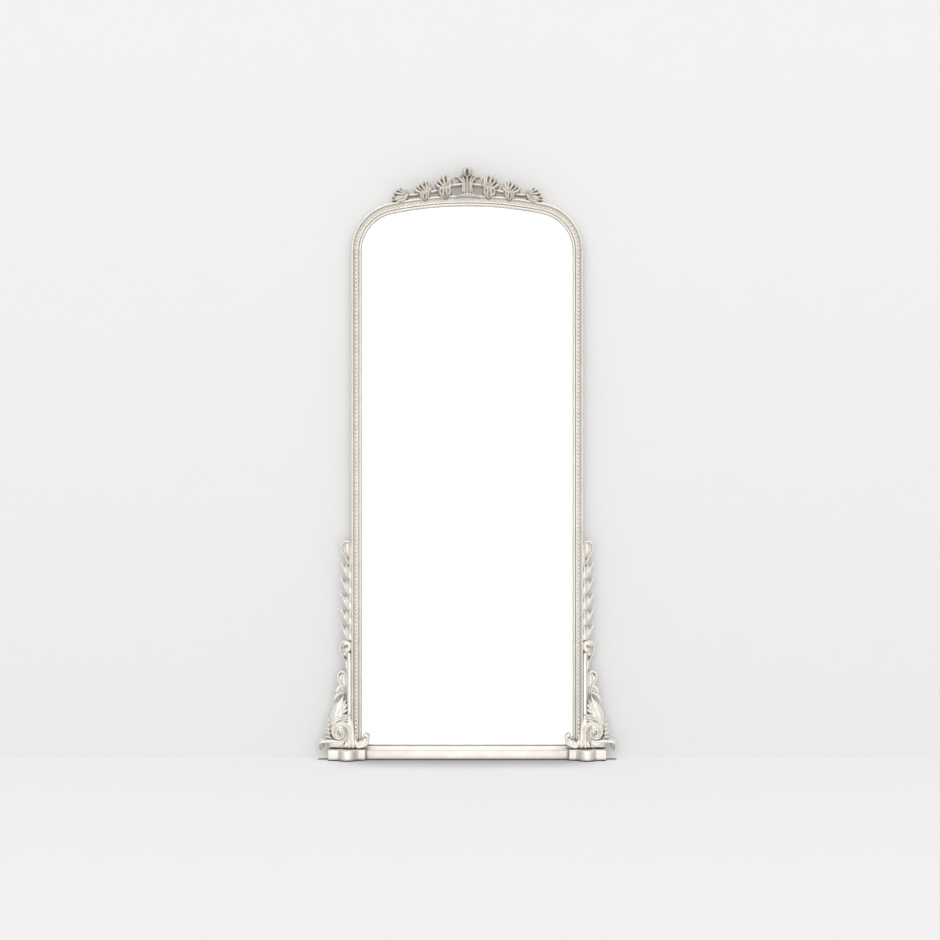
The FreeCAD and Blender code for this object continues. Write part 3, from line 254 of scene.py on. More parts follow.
for side, hand in hands:
    edge = side * sight_half
    moulding_run(
        hand + "_stile_moulding", [((edge, height), (side, 0)) for height in (plinth_top, spring_height)],
        [hand + "_stile"],
    )

# The arch is the same moulding turned over the top: a tight corner on each side and a flat crown
# between them. It is jointed from pine segments and dowelled to the heads of the stiles.

arch_rise = 144 * mm
corner_radius = 122 * mm
corner_x = sight_half - corner_radius
crown_radius = (
    (corner_x ** 2 + arch_rise ** 2 - corner_radius ** 2) / (2 * (arch_rise - corner_radius))
)
sight_top = spring_height + arch_rise
crown_centre = sight_top - crown_radius
crown_turn = math.atan2(corner_x, crown_radius - arch_rise)


def arch_place(turn, out=0):
    """The place and the outward way, a turn from upright, at a distance out from the sight edge."""
    outward = (math.sin(turn), math.cos(turn))
    if abs(turn) <= crown_turn:
        centre, radius = (0, crown_centre), crown_radius + out
    else:
        centre, radius = (math.copysign(corner_x, turn), spring_height), corner_radius + out
    return (centre[0] + outward[0] * radius, centre[1] + outward[1] * radius), outward


corner_steps = 30
crown_steps = 44
corner_turn = math.pi / 2 - crown_turn
arch_turns = [math.pi / 2 - corner_turn * step / corner_steps for step in range(corner_steps)]
arch_turns += [crown_turn * (1 - 2 * step / crown_steps) for step in range(crown_steps)]
arch_turns += [-crown_turn - corner_turn * step / corner_steps for step in range(corner_steps + 1)]
moulding_run("arch_run", [arch_place(turn) for turn in arch_turns], ["arch_moulding"])

# The bottom rail is a plain pine fascia with a quirk and a sloped ledge that runs up to the glass.
# It is dowelled between the plinth blocks, and only its ledge reaches over them to the stiles. A
# fine groove along the ledge's top holds a dark line there: its own shade, with the wash and painted
# shade of the leaf laid over it.

rail_low, rail_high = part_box("bottom_rail")
plinth_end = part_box("right_plinth_block")[0].x
rail_top = rail_high.z
fascia_top = 29 * mm
rail_quirk = 2.5 * mm
rail_depth = back_face - rail_low.y
ledge_foot = fascia_top + rail_quirk
ledge_run = (rail_depth - rail_quirk - lip_front_depth) / (rail_top - ledge_foot)
groove_foot = rail_top - 4 * mm
groove_head = rail_top - 1.4 * mm
groove_floor = lip_front_depth - 1.5 * mm
ledge_back = [
    (lip_front_depth + (rail_top - groove_foot) * ledge_run, groove_foot), (groove_floor, groove_foot),
    (groove_floor, groove_head), (lip_front_depth + (rail_top - groove_head) * ledge_run, groove_head),
    (lip_front_depth, rail_top), (lip_back_depth, rail_top), (lip_back_depth, rail_top - glass_rebate),
    (glass_back_depth, rail_top - glass_rebate),
]
rail_section = [
    (0, rail_low.z), (rail_depth, rail_low.z), (rail_depth, fascia_top),
    (rail_depth - rail_quirk, fascia_top), (rail_depth - rail_quirk, ledge_foot), *ledge_back,
    (glass_back_depth, rail_top - board_rebate), (0, rail_top - board_rebate),
]
ledge_section = [
    (glass_back_depth, plinth_top),
    (rail_depth - rail_quirk - (plinth_top - ledge_foot) * ledge_run, plinth_top), *ledge_back,
]
rail_solids = []
for section, ends in (
    (rail_section, (-plinth_end, plinth_end)), (ledge_section, (plinth_end, sight_half)),
    (ledge_section, (-sight_half, -plinth_end)),
):
    rail_solids.append([[Vector((x, back_face - depth, z)) for depth, z in section] for x in ends])
rail_mesh = softened(closed_mesh("bottom_rail", rail_solids), width=0.4 * mm)
finish_piece("bottom_rail_moulding", rail_mesh, silver_moulding, ["bottom_rail"])

# The plinth blocks are stepped blocks of pine, with a bold round lobe in the middle and a cove to
# each side of it. Their arrises are eased before the gesso, so the leaf catches a soft line there.

block_low, block_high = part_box("right_plinth_block")
block_inner_depth = 74 * mm
block_outer_depth = 80 * mm
lobe_rise = 6 * mm
lobe_spring = back_face - block_low.y - lobe_rise
cove_start = block_low.x + 21 * mm
lobe_start = cove_start + 15 * mm
lobe_end = lobe_start + 41 * mm
cove_end = lobe_end + 8 * mm
block_outline = [
    (block_low.x, 0), (block_low.x, block_inner_depth),
    *arc_points((cove_start, block_inner_depth), (lobe_start, lobe_spring), -1.01, 8),
    *arc_points((lobe_start, lobe_spring), (lobe_end, lobe_spring), 0.93, 12)[1:],
    *arc_points((lobe_end, lobe_spring), (cove_end, block_outer_depth), -1.0, 8)[1:],
    (block_high.x, block_outer_depth), (block_high.x, 0),
]
for side, hand in hands:
    rings = [
        [Vector((side * x, back_face - depth, z)) for x, depth in block_outline]
        for z in (block_low.z, block_high.z)
    ]
    plinth_mesh = softened(closed_mesh("plinth", [rings]), width=1.6 * mm, segments=3)
    finish_piece(
        hand + "_plinth", plinth_mesh, silver_moulding, [hand + "_plinth_block"],
    )

# Under each plinth block is a pad of pressed grey felt, glued on so that the mirror doesn't mark the
# floor. Wool felt shows no thread, only a fine matted fuzz.

felt, tree, shader = start_material("pressed_wool_felt", Roughness=0.95)
place = add_node(tree, "ShaderNodeTexCoord").outputs["Object"]
fuzz = add_node(
    tree, "ShaderNodeTexNoise", values={"Scale": 1 / (0.8 * mm), "Detail": 4, "Roughness": 0.7},
    links={"Vector": place},
)
matted = add_node(
    tree, "ShaderNodeMix", settings={"data_type": "RGBA"},
    values={"A": linear("#35322F"), "B": linear("#5C5853")}, links={"Factor": fuzz.outputs["Fac"]},
)
rough = add_node(
    tree, "ShaderNodeBump", values={"Strength": 0.6, "Distance": 0.4 * mm},
    links={"Height": fuzz.outputs["Fac"]},
)
tree.links.new(matted.outputs["Result"], shader.inputs["Base Color"])
tree.links.new(rough.outputs["Normal"], shader.inputs["Normal"])


def block_solid(low, high):
    """The two end rings of a block between two corners."""
    return [
        [Vector((x, y, z)) for x, y in ((low.x, low.y), (high.x, low.y), (high.x, high.y), (low.x, high.y))]
        for z in (low.z, high.z)
    ]


pad_low, pad_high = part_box("floor_pads")
pad_inset = 5 * mm
pad_solids = [
    block_solid(Vector((plinth_end + pad_inset, pad_low.y, pad_low.z)), pad_high),
    block_solid(pad_low, Vector((-plinth_end - pad_inset, pad_high.y, pad_high.z))),
]
pad_mesh = softened(closed_mesh("felt_pads", pad_solids), width=0.8 * mm)
finish_piece("felt_pads", pad_mesh, felt, ["floor_pads"])

# Six fluted beech dowels join the frame. They are glued in blind holes and stay out of sight, so the
# CAD pieces stay as they are and only get their wood: pale, close-grained, with short darker flecks.


def mottled(name, colours, grain, detail, dulls=None, **constants):
    """A material that clouds between two colours, and between two roughnesses, over a grain size."""
    material, tree, shader = start_material(name, **constants)
    place = add_node(tree, "ShaderNodeTexCoord").outputs["Object"]
    cloud = add_node(
        tree, "ShaderNodeTexNoise", values={"Scale": 1 / grain, "Detail": detail}, links={"Vector": place},
    )
    tone = add_node(
        tree, "ShaderNodeMix", settings={"data_type": "RGBA"},
        values={"A": linear(colours[0]), "B": linear(colours[1])}, links={"Factor": cloud.outputs["Fac"]},
    )
    tree.links.new(tone.outputs["Result"], shader.inputs["Base Color"])
    if dulls:
        dull = add_node(
            tree, "ShaderNodeMapRange", values={"To Min": dulls[0], "To Max": dulls[1]},
            links={"Value": cloud.outputs["Fac"]},
        )
        tree.links.new(dull.outputs["Result"], shader.inputs["Roughness"])
    return material


def dress(node, material):
    """Gives a CAD node that stays as it is its finish."""
    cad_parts[node].data.materials.clear()
    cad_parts[node].data.materials.append(material)


beech = mottled("steamed_beech", ("#C89F70", "#A97C50"), grain=3 * mm, detail=3, Roughness=0.55)
dress("frame_dowels", beech)

# The mirror is 4 mm float glass, silvered and painted on the back and cut to the arch. It shows the
# room with next to no tint, and stands in its rebate on two rubber setting blocks.

mirror = mottled(
    "silvered_float_glass", ("#FAFBFA", "#F7F9F8"), grain=180 * mm, detail=2, dulls=(0.004, 0.02),
    Metallic=1.0,
)
dress("mirror_glass", mirror)

# Moulded rubber is a matt black that greys a little with dust and bloom.
rubber = mottled("moulded_black_rubber", ("#1C1C1C", "#303030"), grain=4 * mm, detail=3, dulls=(0.55, 0.8))
dress("glass_setting_blocks", rubber)

# The back is a 6 mm board of brown fibreboard in its own rebate. It is pressed from fine wood fibre,
# so it has no grain, only a close mottle with darker specks and a slight sheen from the press.

board, tree, shader = start_material("brown_fibreboard", Roughness=0.62)
place = add_node(tree, "ShaderNodeTexCoord").outputs["Object"]
mottle = add_node(
    tree, "ShaderNodeTexNoise", values={"Scale": 1 / (60 * mm), "Detail": 8, "Roughness": 0.72},
    links={"Vector": place},
)
fibre = add_node(
    tree, "ShaderNodeTexVoronoi", values={"Scale": 1 / (1.6 * mm)}, links={"Vector": place},
)
pressed = add_node(
    tree, "ShaderNodeMix", settings={"data_type": "RGBA"},
    values={"A": linear("#8E6C49"), "B": linear("#6B4C30")}, links={"Factor": mottle.outputs["Fac"]},
)
speckle = add_node(
    tree, "ShaderNodeMapRange", values={"From Max": 0.5, "To Min": 0.78, "To Max": 1.0},
    links={"Value": fibre.outputs["Distance"]},
)
specked = add_node(
    tree, "ShaderNodeMix", settings={"data_type": "RGBA", "blend_type": "MULTIPLY"},
    values={"Factor": 0.6}, links={"A": pressed.outputs["Result"], "B": speckle.outputs["Result"]},
)
tree.links.new(specked.outputs["Result"], shader.inputs["Base Color"])
dress("backing_board", board)

# Zinc-plated steel serves for the framer's points that hold the board, and for the hangers. Plating
# is a fairly bright, faintly blue grey, with a fine cloudy bloom.

zinc = mottled(
    "zinc_plated_steel", ("#C3C6C9", "#989CA1"), grain=1.5 * mm, detail=4, dulls=(0.28, 0.48), Metallic=1.0,
)
dress("board_points", zinc)

# Each hanger is a short steel strap screwed to the back of the stile. Its top is rolled into a
# knuckle round the bar of a loose D-ring, which is bent from wire and hangs down over the strap.

hanger_inset = 7 * mm
hanger_x = outer_half - hanger_inset
hanger_height = 1420 * mm
strap_width = 11 * mm
strap_length = 36 * mm
strap_thickness = 1.1 * mm
wire_radius = 1.2 * mm
bar_hole = 1.3 * mm
knuckle_radius = 2.4 * mm
ring_y = back_face + knuckle_radius
ring_half = 6.7 * mm + wire_radius
ring_drop = 18 * mm
ring_corner = 2.2 * mm
wire_turns = [math.tau * step / 12 for step in range(12)]
knuckle_wrap = math.radians(318)
knuckle_steps = 24
screw_drops = [strap_length * 0.25, strap_length * 0.8]

outer_turns = [math.pi - knuckle_wrap * step / knuckle_steps for step in range(knuckle_steps + 1)]
strap_outline = [(0, -strap_length)]
for radius, turns in ((knuckle_radius, outer_turns), (bar_hole, outer_turns[::-1])):
    strap_outline += [(knuckle_radius + radius * math.cos(turn), radius * math.sin(turn)) for turn in turns]
strap_outline += [(strap_thickness, -knuckle_radius), (strap_thickness, -strap_length)]


def turned(axis_x, axis_z, outline, steps):
    """Rings of a part turned about a line that runs front to back, from (radius, y) points."""
    rings = []
    for radius, y in outline:
        ring = []
        for step in range(steps):
            turn = math.tau * step / steps
            ring.append(Vector((axis_x + radius * math.cos(turn), y, axis_z + radius * math.sin(turn))))
        rings.append(ring)
    return rings


screw_seat = back_face + strap_thickness
# Radius and way out from the strap, in millimetres, from the point to the foot of the recess.
screw_outline = [(radius * mm, screw_seat + out * mm) for radius, out in (
    (0.3, -13.5), (1.5, -11), (1.5, 0), (3, 0), (3, 0.8), (2.6, 1.5), (1.9, 1.9), (1.2, 2), (1.1, 1),
)]
screw_solids = []
for side, hand in hands:
    rings = [
        [Vector((side * hanger_x + across, back_face + y, hanger_height + z)) for y, z in strap_outline]
        for across in (-strap_width / 2, strap_width / 2)
    ]
    strap = softened(closed_mesh("strap", [rings]), width=0.25 * mm)
    finish_piece(hand + "_hanger_strap", strap, zinc, [hand + "_hanger_plate"])
    for drop in screw_drops:
        screw_solids.append(turned(side * hanger_x, hanger_height - drop, screw_outline, steps=20))

    # Each bend of the wire: its centre, its radius, its first and last turn in degrees, its stations.
    bends = [
        (ring_half - ring_corner, -ring_corner, ring_corner, 90, 0, 5),
        (0, ring_half - ring_drop, ring_half, 0, -180, 20),
        (ring_corner - ring_half, -ring_corner, ring_corner, 180, 90, 5),
    ]
    wire = []
    for bend_x, bend_z, radius, first, last, stations in bends:
        for station in range(stations):
            turn = math.radians(first + (last - first) * station / (stations - 1))
            outward = Vector((math.cos(turn), 0, math.sin(turn)))
            middle = Vector((side * hanger_x + bend_x, ring_y, hanger_height + bend_z)) + outward * radius
            wire.append([
                middle + (outward * math.cos(about) + Vector((0, math.sin(about), 0))) * wire_radius
                for about in wire_turns
            ])
    finish_piece(
        hand + "_d_ring", closed_mesh("ring", [wire], looped=True), zinc,
        [hand + "_hanger_ring"], body=hand + "_hanger", sharp_degrees=80,
    )
finish_piece("strap_screws", closed_mesh("strap_screws", screw_solids), zinc, ["hanger_screws"])

# Two moulded rubber bumpers high on the back of the stiles meet the wall when the mirror leans. Each
# is a plain round button with an eased rim.

bumper_low, bumper_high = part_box("wall_bumpers")
bumper_radius = (bumper_high.z - bumper_low.z) / 2
bumper_z = (bumper_high.z + bumper_low.z) / 2
rim = 1.2 * mm
bumper_outline = [(bumper_radius, bumper_low.y), (bumper_radius, bumper_high.y - rim)]
bumper_outline += [
    (bumper_radius - rim + rim * math.cos(turn), bumper_high.y - rim + rim * math.sin(turn))
    for turn in (math.pi / 8, math.pi / 4, math.pi * 3 / 8, math.pi / 2)
]
bumper_solids = [turned(side * hanger_x, bumper_z, bumper_outline, steps=32) for side in (-1, 1)]
finish_piece("rubber_bumpers", closed_mesh("bumpers", bumper_solids), rubber, ["wall_bumpers"])

# Pearl beading runs in the channel up the stiles and over the arch: half-round beads of cast
# composition, glued down and leafed. The tops are burnished, and between the beads the colour darkens,
# partly with the wash and partly as painted shade.

silver_beads = antique_silver(
    "silver_leaf_beads", "#F4F1EB", "#EEE9E1", "#7E7567",
    wash_and_shade_reach=3 * mm, wash_and_shade_range=(0.25, 0.9), roughness=0.34,
)
bead_pitch = 13.1 * mm
bead_radius = 5 * mm
bead_line = (channel_start + channel_end) / 2
beading_foot = 69 * mm
bead_sides = 14
bead_levels = 5
least_bead = 0.95
bead_seed = 7


def bead(x, z, size):
    """A half-round bead that stands on the floor of the channel."""
    rings = []
    for level in range(bead_levels):
        lift = math.pi / 2 * level / bead_levels
        radius = size * math.cos(lift)
        y = back_face - channel_depth - size * math.sin(lift)
        rings.append([
            Vector((x + radius * math.cos(math.tau * side / bead_sides), y,
                    z + radius * math.sin(math.tau * side / bead_sides)))
            for side in range(bead_sides)
        ])
    return rings


def evenly(length):
    """Distances along a run, half a pitch in from each end."""
    count = int(length / bead_pitch + 1e-6)
    return [length * (number + 0.5) / count for number in range(count)]


hand_pressed = random.Random(bead_seed)
for side, hand in hands:
    across = side * (sight_half + bead_line)
    beads = [
        bead(across, beading_foot + along, bead_radius * hand_pressed.uniform(least_bead, 1))
        for along in evenly(spring_height - beading_foot)
    ]
    finish_piece(
        hand + "_pearl_beads", closed_mesh("beads", beads), silver_beads,
        [hand + "_beading"], sharp_degrees=60,
    )
corner_run = (corner_radius + bead_line) * corner_turn
crown_run = (crown_radius + bead_line) * crown_turn
beads = []
for along in evenly(2 * (corner_run + crown_run)):
    from_middle = abs(along - corner_run - crown_run)
    turn = from_middle / (crown_radius + bead_line)
    if from_middle > crown_run:
        turn = crown_turn + (from_middle - crown_run) / (corner_radius + bead_line)
    spot = arch_place(math.copysign(turn, along - corner_run - crown_run), bead_line)[0]
    beads.append(bead(spot[0], spot[1], bead_radius * hand_pressed.uniform(least_bead, 1)))
finish_piece(
    "arch_pearl_beads", closed_mesh("beads", beads), silver_beads, ["arch_beading"],
    sharp_degrees=60,
)

# The crest is carved limewood, pierced right through between the stem and the arch. Its middle is a
# fluted palmette whose petals curl out to each side under a round, two-lobed knob.

# In the hollows of the carving and the crest the colour darkens, partly with the wash and partly as painted
# shade; on the crest it is darker and reaches further.
silver_carving = antique_silver(
    "silver_leaf_carving", "#F4F1EB", "#EAE6DE", "#9D9487",
    wash_and_shade_reach=4.5 * mm, wash_and_shade_range=(0.16, 0.8), roughness=0.37,
)
silver_crest = antique_silver(
    "silver_leaf_crest", "#E0DAD1", "#BDB5A9", "#453C33",
    wash_and_shade_reach=7 * mm, wash_and_shade_range=(0.38, 0.93), roughness=0.33,
)
voxel = 1.15 * mm
palmette_voxel = 1.0 * mm
stations_each = 7
chisel_fullness = 2.4
least_half_width = 0.3
least_rise = 0.5
seat_sink = 0.5
underside_share = 0.9


def eased(values, along):
    """A value part of the way along a list of evenly spaced ones, with a smooth change between."""
    spot = along * (len(values) - 1)
    here = min(int(spot), len(values) - 2)
    part = spot - here
    before, one, two, after = (
        values[max(here - 1, 0)], values[here], values[here + 1], values[min(here + 2, len(values) - 1)],
    )
    cubic = 3 * (one - two) + after - before
    square = 2 * before - 5 * one + 4 * two - after
    return one + 0.5 * part * (two - before + part * (square + part * cubic))


def chisel_rise(across, ribs, groove):
    """How high the section of a stroke stands at a share of its half width: round, and ribbed."""
    round_rise = max(0, 1 - abs(across) ** chisel_fullness) ** 0.5
    wave = math.cos(math.pi * ribs * (across + 1) + math.pi * (ribs % 2 == 0))
    return round_rise * (1 - groove * (0.5 - 0.5 * wave))


def stroke(spots, widths, rises, seat, ribs=1, groove=0.0, lifts=(0, 0)):
    """One carved stroke: rings along a smooth line through (x, z) spots, with half widths, rises over
    the seat, and lifts of the seat towards the front, all in millimetres."""
    xs, zs = [spot[0] for spot in spots], [spot[1] for spot in spots]
    steps = stations_each * (len(spots) - 1)
    points_across = 6 * ribs + 3
    rings = []
    for step in range(steps + 1):
        along = step / steps
        middle = Vector((eased(xs, along), 0, eased(zs, along)))
        nudge = 0.5 / steps
        ahead, behind = min(along + nudge, 1), max(along - nudge, 0)
        heading = Vector((
            eased(xs, ahead) - eased(xs, behind), 0, eased(zs, ahead) - eased(zs, behind),
        )).normalized()
        across_way = Vector((-heading.z, 0, heading.x))
        half_width = max(eased(widths, along), least_half_width)
        rise = max(eased(rises, along), least_rise)
        floor = seat + max(eased(lifts, along), 0)
        ring = []
        for number in range(points_across):
            across = 2 * number / (points_across - 1) - 1
            top = floor + rise * chisel_rise(across, ribs, groove)
            spot = middle + across_way * (half_width * across)
            ring.append(Vector((spot.x * mm, back_face - top * mm, spot.z * mm)))
        for across in (underside_share, -underside_share):
            spot = middle + across_way * (half_width * across)
            ring.append(Vector((spot.x * mm, back_face - (floor - seat_sink) * mm, spot.z * mm)))
        rings.append(ring)
    return rings


def carve(name, strokes, detail=voxel):
    """Strokes run together into one carved mesh, with the marks of the joins smoothed away."""
    return shaped(closed_mesh(name, strokes), [
        ("REMESH", {"mode": "VOXEL", "voxel_size": detail}),
        ("SMOOTH", {"factor": 0.5, "iterations": 2}),
        ("DECIMATE", {"ratio": 0.5}),
    ])


def other_hand(mesh, name):
    """The mirror image of a mesh."""
    made = mesh.copy()
    made.name = name
    for vertex in made.vertices:
        vertex.co.x = -vertex.co.x
    made.flip_normals()
    return made


def carved_pair(name, strokes, node, material):
    """A carved piece for the right side and its mirror image for the left."""
    mesh = carve(name, strokes)
    for hand, carved in (("right_", mesh), ("left_", other_hand(mesh, name))):
        finish_piece(hand + name, carved, material, [hand + node], sharp_degrees=70)


def crest_spot(x, height):
    """A place a height above the outer edge of the crown, in millimetres."""
    reach = (crown_radius + moulding_width) / mm
    return (x, crown_centre / mm + math.sqrt(reach * reach - x * x) + height)


def crest_stroke(spots, *rest, **settings):
    return stroke([crest_spot(*spot) for spot in spots], *rest, **settings)


palmette_seat = 16
rib_seat = 32
knob_seat = 36
foot_roll_seat = 41
palmette = [
    crest_stroke([(0, -4), (0, 22), (0, 44), (0, 62)], [5.8, 5.2, 5, 6], [15, 16, 16, 15], rib_seat),
    crest_stroke([(0, -4), (0, 20), (0, 40), (0, 60)], [20, 17, 16, 24], [26, 28, 28, 24], palmette_seat),
    crest_stroke(
        [(-40, -7), (-28, -2), (-14, 0), (0, 1), (14, 0), (28, -2), (40, -7)], [2.5, 5, 6, 6.4, 6, 5, 2.5],
        [8, 11, 12, 13, 12, 11, 8], foot_roll_seat, ribs=2, groove=0.3,
    ),
    crest_stroke(
        [(-38, -1), (-20, 3), (0, 5), (20, 3), (38, -1)], [3, 5, 6, 5, 3], [14, 22, 26, 22, 14],
        palmette_seat,
    ),
    crest_stroke(
        [(0, 56), (0, 64), (0, 73), (0, 82), (0, 91)], [10, 16, 17.4, 16, 8], [22, 28, 31, 28, 18],
        palmette_seat,
    ),
]
for side in (-1, 1):
    palmette += [
        crest_stroke(
            [(side * 11, -4), (side * 9, 24), (side * 9.5, 44), (side * 14, 58), (side * 20, 63)],
            [5, 4.6, 4.8, 5.4, 3], [12, 13, 13, 12, 9], rib_seat,
        ),
        crest_stroke(
            [(side * 21, -1), (side * 16, 14), (side * 14.5, 30), (side * 17, 45), (side * 25, 55),
             (side * 34, 58), (side * 41, 54)],
            [6, 5.4, 5.4, 7, 7.4, 6, 3], [27, 29, 30, 31, 31, 30, 24], palmette_seat,
            lifts=[0, 0, 0, 1, 3, 6, 8],
        ),
        crest_stroke(
            [(side * 5, 60), (side * 8.2, 69), (side * 8.6, 79), (side * 7.4, 88)], [4.6, 8.4, 9, 6],
            [12, 18, 20, 13], knob_seat,
        ),
    ]
finish_piece(
    "carved_palmette", carve("palmette", palmette, palmette_voxel), silver_crest,
    ["crest_palmette"], sharp_degrees=70,
)

# A spray of leaves lies to each side of the palmette, carved from the same limewood. One stem runs
# down to the arch with three fans of leaves, and a plump drop hangs over the beads from the first two.

leaf_rise = 23
leaf_curl = 3
drop_seat = 28


def crest_leaf(root, tip, half_width, seat, bend):
    """A leaf from its root to its tip, bowed to one side and curled forward at the tip."""
    run, climb = tip[0] - root[0], tip[1] - root[1]
    spots = [
        (root[0] + run * along - climb * bend * bow, root[1] + climb * along + run * bend * bow)
        for along, bow in ((0, 0), (0.4, 1), (0.75, 0.8), (1, 0))
    ]
    return crest_stroke(
        spots, [half_width * share for share in (0.45, 0.85, 1, 0.25)],
        [leaf_rise * share for share in (0.8, 1, 0.95, 0.6)], seat, lifts=[0, 0, leaf_curl * 0.4, leaf_curl],
    )


def hanging_drop(middle, top, low, reach):
    """A plump drop of four ribs that hangs from the stem over the beads."""
    ribs = [crest_stroke(
        [(middle, top), (middle, top * 0.5), (middle - 3, low + 8)],
        [reach * 0.6, reach, reach * 0.4], [18, 22, 16], drop_seat,
    )]
    for share in (-1, -0.36, 0.36, 1):
        foot = low + 5 * abs(share)
        ribs.append(crest_stroke(
            [(middle + reach * share * 0.5, top), (middle + reach * share, top * 0.6),
             (middle + reach * (share * 0.8 - 0.06), foot + top * 0.3),
             (middle + reach * (share * 0.15 - 0.3), foot - 1)],
            [reach * part for part in (0.32, 0.46, 0.42, 0.16)], [20, 25, 25, 18], drop_seat,
        ))
    return ribs


stem_seat = 24
fan_seat = 24
spray = [
    crest_stroke(
        [(14, 36), (32, 35), (50, 32), (70, 27), (88, 22), (104, 18), (124, 17), (146, 15), (166, 14),
         (186, 15), (204, 16), (222, 14), (236, 10)],
        [8.2, 8.2, 8, 7.6, 7.2, 7.2, 7.4, 7.4, 7.4, 7.2, 6, 5, 2.6],
        [20, 20, 20, 19, 18, 18, 18, 18, 18, 18, 17, 15, 11], stem_seat,
    ),
    crest_stroke([(66, 22), (72, 38), (76, 52)], [13, 21, 18], [19, 21.5, 17.5], fan_seat),
    crest_stroke([(132, 16), (137, 29), (143, 42)], [11, 18, 15], [19, 21.5, 17.5], fan_seat),
    crest_stroke([(188, 16), (205, 18), (224, 17)], [9, 15, 14], [19, 21.5, 17.5], fan_seat),
]
spray += hanging_drop(middle=71, top=29, low=-11, reach=16)
spray += hanging_drop(middle=136, top=21, low=-11, reach=12.5)
# Each fan: its root, the place and bend of each leaf's tip, and the leaves' half width.
fans = [
    ((68, 24), [(50, 46, 0.24), (58, 60, 0.2), (69, 70, 0.14), (82, 67, 0.04), (94, 58, -0.06),
                (104, 45, -0.14)], 7.8),
    ((132, 16), [(116, 37, 0.24), (126, 50, 0.2), (139, 56, 0.12), (152, 51, 0.02), (162, 44, -0.08),
                 (171, 37, -0.16)], 7),
    ((188, 16), [(204, 36, 0.08), (216, 43, 0.06), (229, 39, 0.03), (238, 29, 0.0), (243, 17, -0.03),
                 (243, 7, -0.05), (233, -2, -0.06), (220, -6, -0.06), (206, -6, -0.04)], 6.2),
]
for root, tips, half_width in fans:
    for number, (x, height, bend) in enumerate(tips):
        spray.append(crest_leaf(root, (x, height), half_width, fan_seat + 3 * (number % 2), bend))
carved_pair("leaf_spray", spray, "crest_spray", silver_crest)

# The foot brackets stand on the plinth blocks and hide the feet of the stiles. Each is a fluted
# shaft that rises from its toes, turns over the top and winds down into a round eye.


foot_seat = 12


def side_stroke(spots, widths, rises, seat=foot_seat, **settings):
    """A stroke whose spots are out from the stile's outer face and up from the floor."""
    places = [(outer_half / mm + across, height) for across, height in spots]
    return stroke(places, widths, rises, seat, **settings)


front_seat = 38
outer_toe_seat = 36
# The winding of the band: out from the stile, up from the floor, and its half width there.
winding = [
    (6, 34, 12), (4, 54, 11.5), (2, 74, 10.5), (5, 92, 9.5), (13, 107, 10), (24, 115, 11), (36, 115.5, 11.5),
    (47, 110.5, 10.5), (55, 101, 9), (59, 89, 7.6), (56.5, 77, 6.4), (49, 69, 5.4), (39, 66.5, 5),
    (29, 70.5, 5), (22.5, 80, 5), (24, 91, 4.6), (32, 98, 4), (41, 96.5, 3.6), (46.5, 88, 3.4),
    (44, 79, 3.2), (37, 75.5, 3), (31, 80, 3), (33, 88, 3.4),
]
band = [(across, height) for across, height, half_width in winding]
band_widths = [half_width for across, height, half_width in winding]
band_rises = [44 + 5 * number / len(winding) for number in range(len(winding))]
volute = [
    side_stroke(band, band_widths, band_rises, ribs=2, groove=0.17),
    side_stroke([(38, 80), (38, 85.5), (38, 91)], [3.4, 4.6, 3.4], [50, 52, 50]),
    side_stroke([(30, 36), (34, 60), (36, 84), (34, 106), (28, 122)], [24, 31, 31, 24, 10],
                [34, 37, 38, 36, 31]),
    side_stroke([(4, 96), (5, 116), (6, 140)], [13, 14, 13], [36, 35, 32]),
    side_stroke([(2, 124), (24, 126), (44, 120), (57, 106)], [7, 7, 7, 6], [34, 35, 36, 35]),
    side_stroke([(-4, 38), (-6, 62), (-6, 86), (-5, 106), (-3, 122)], [9, 7.5, 6, 5, 3], [21, 17, 15, 12, 9],
                front_seat - 1),
    side_stroke([(-15, 40), (-14, 56), (-12, 72), (-10, 88)], [8, 6, 4, 1.6], [20, 14, 10, 7],
                front_seat - 1),
]
# Each toe: out from the stile, its top, its half width and how far it stands forward.
for across, top, half_width, reach in (
    (17, 58, 6, 24), (6, 62, 7.5, 27), (-7, 60, 7.5, 27), (-19, 58, 7.5, 24), (-30, 54, 6, 20),
):
    volute.append(side_stroke(
        [(across * 0.8, top), (across, (top + 36) / 2 + 2), (across * 1.04, 41), (across * 1.05, 36)],
        [half_width * 0.5, half_width, half_width, half_width * 0.6],
        [reach * 0.6, reach * 0.9, reach, reach * 0.7], front_seat if across < 10 else outer_toe_seat,
    ))
carved_pair("volute_bracket", volute, "base_volute", silver_carving)

# An acanthus leaf rises from each volute and leans on the strip beside the stile. Its lobes are
# ribbed along their length, pointed towards the stile, and run down into the flutes of the volute.

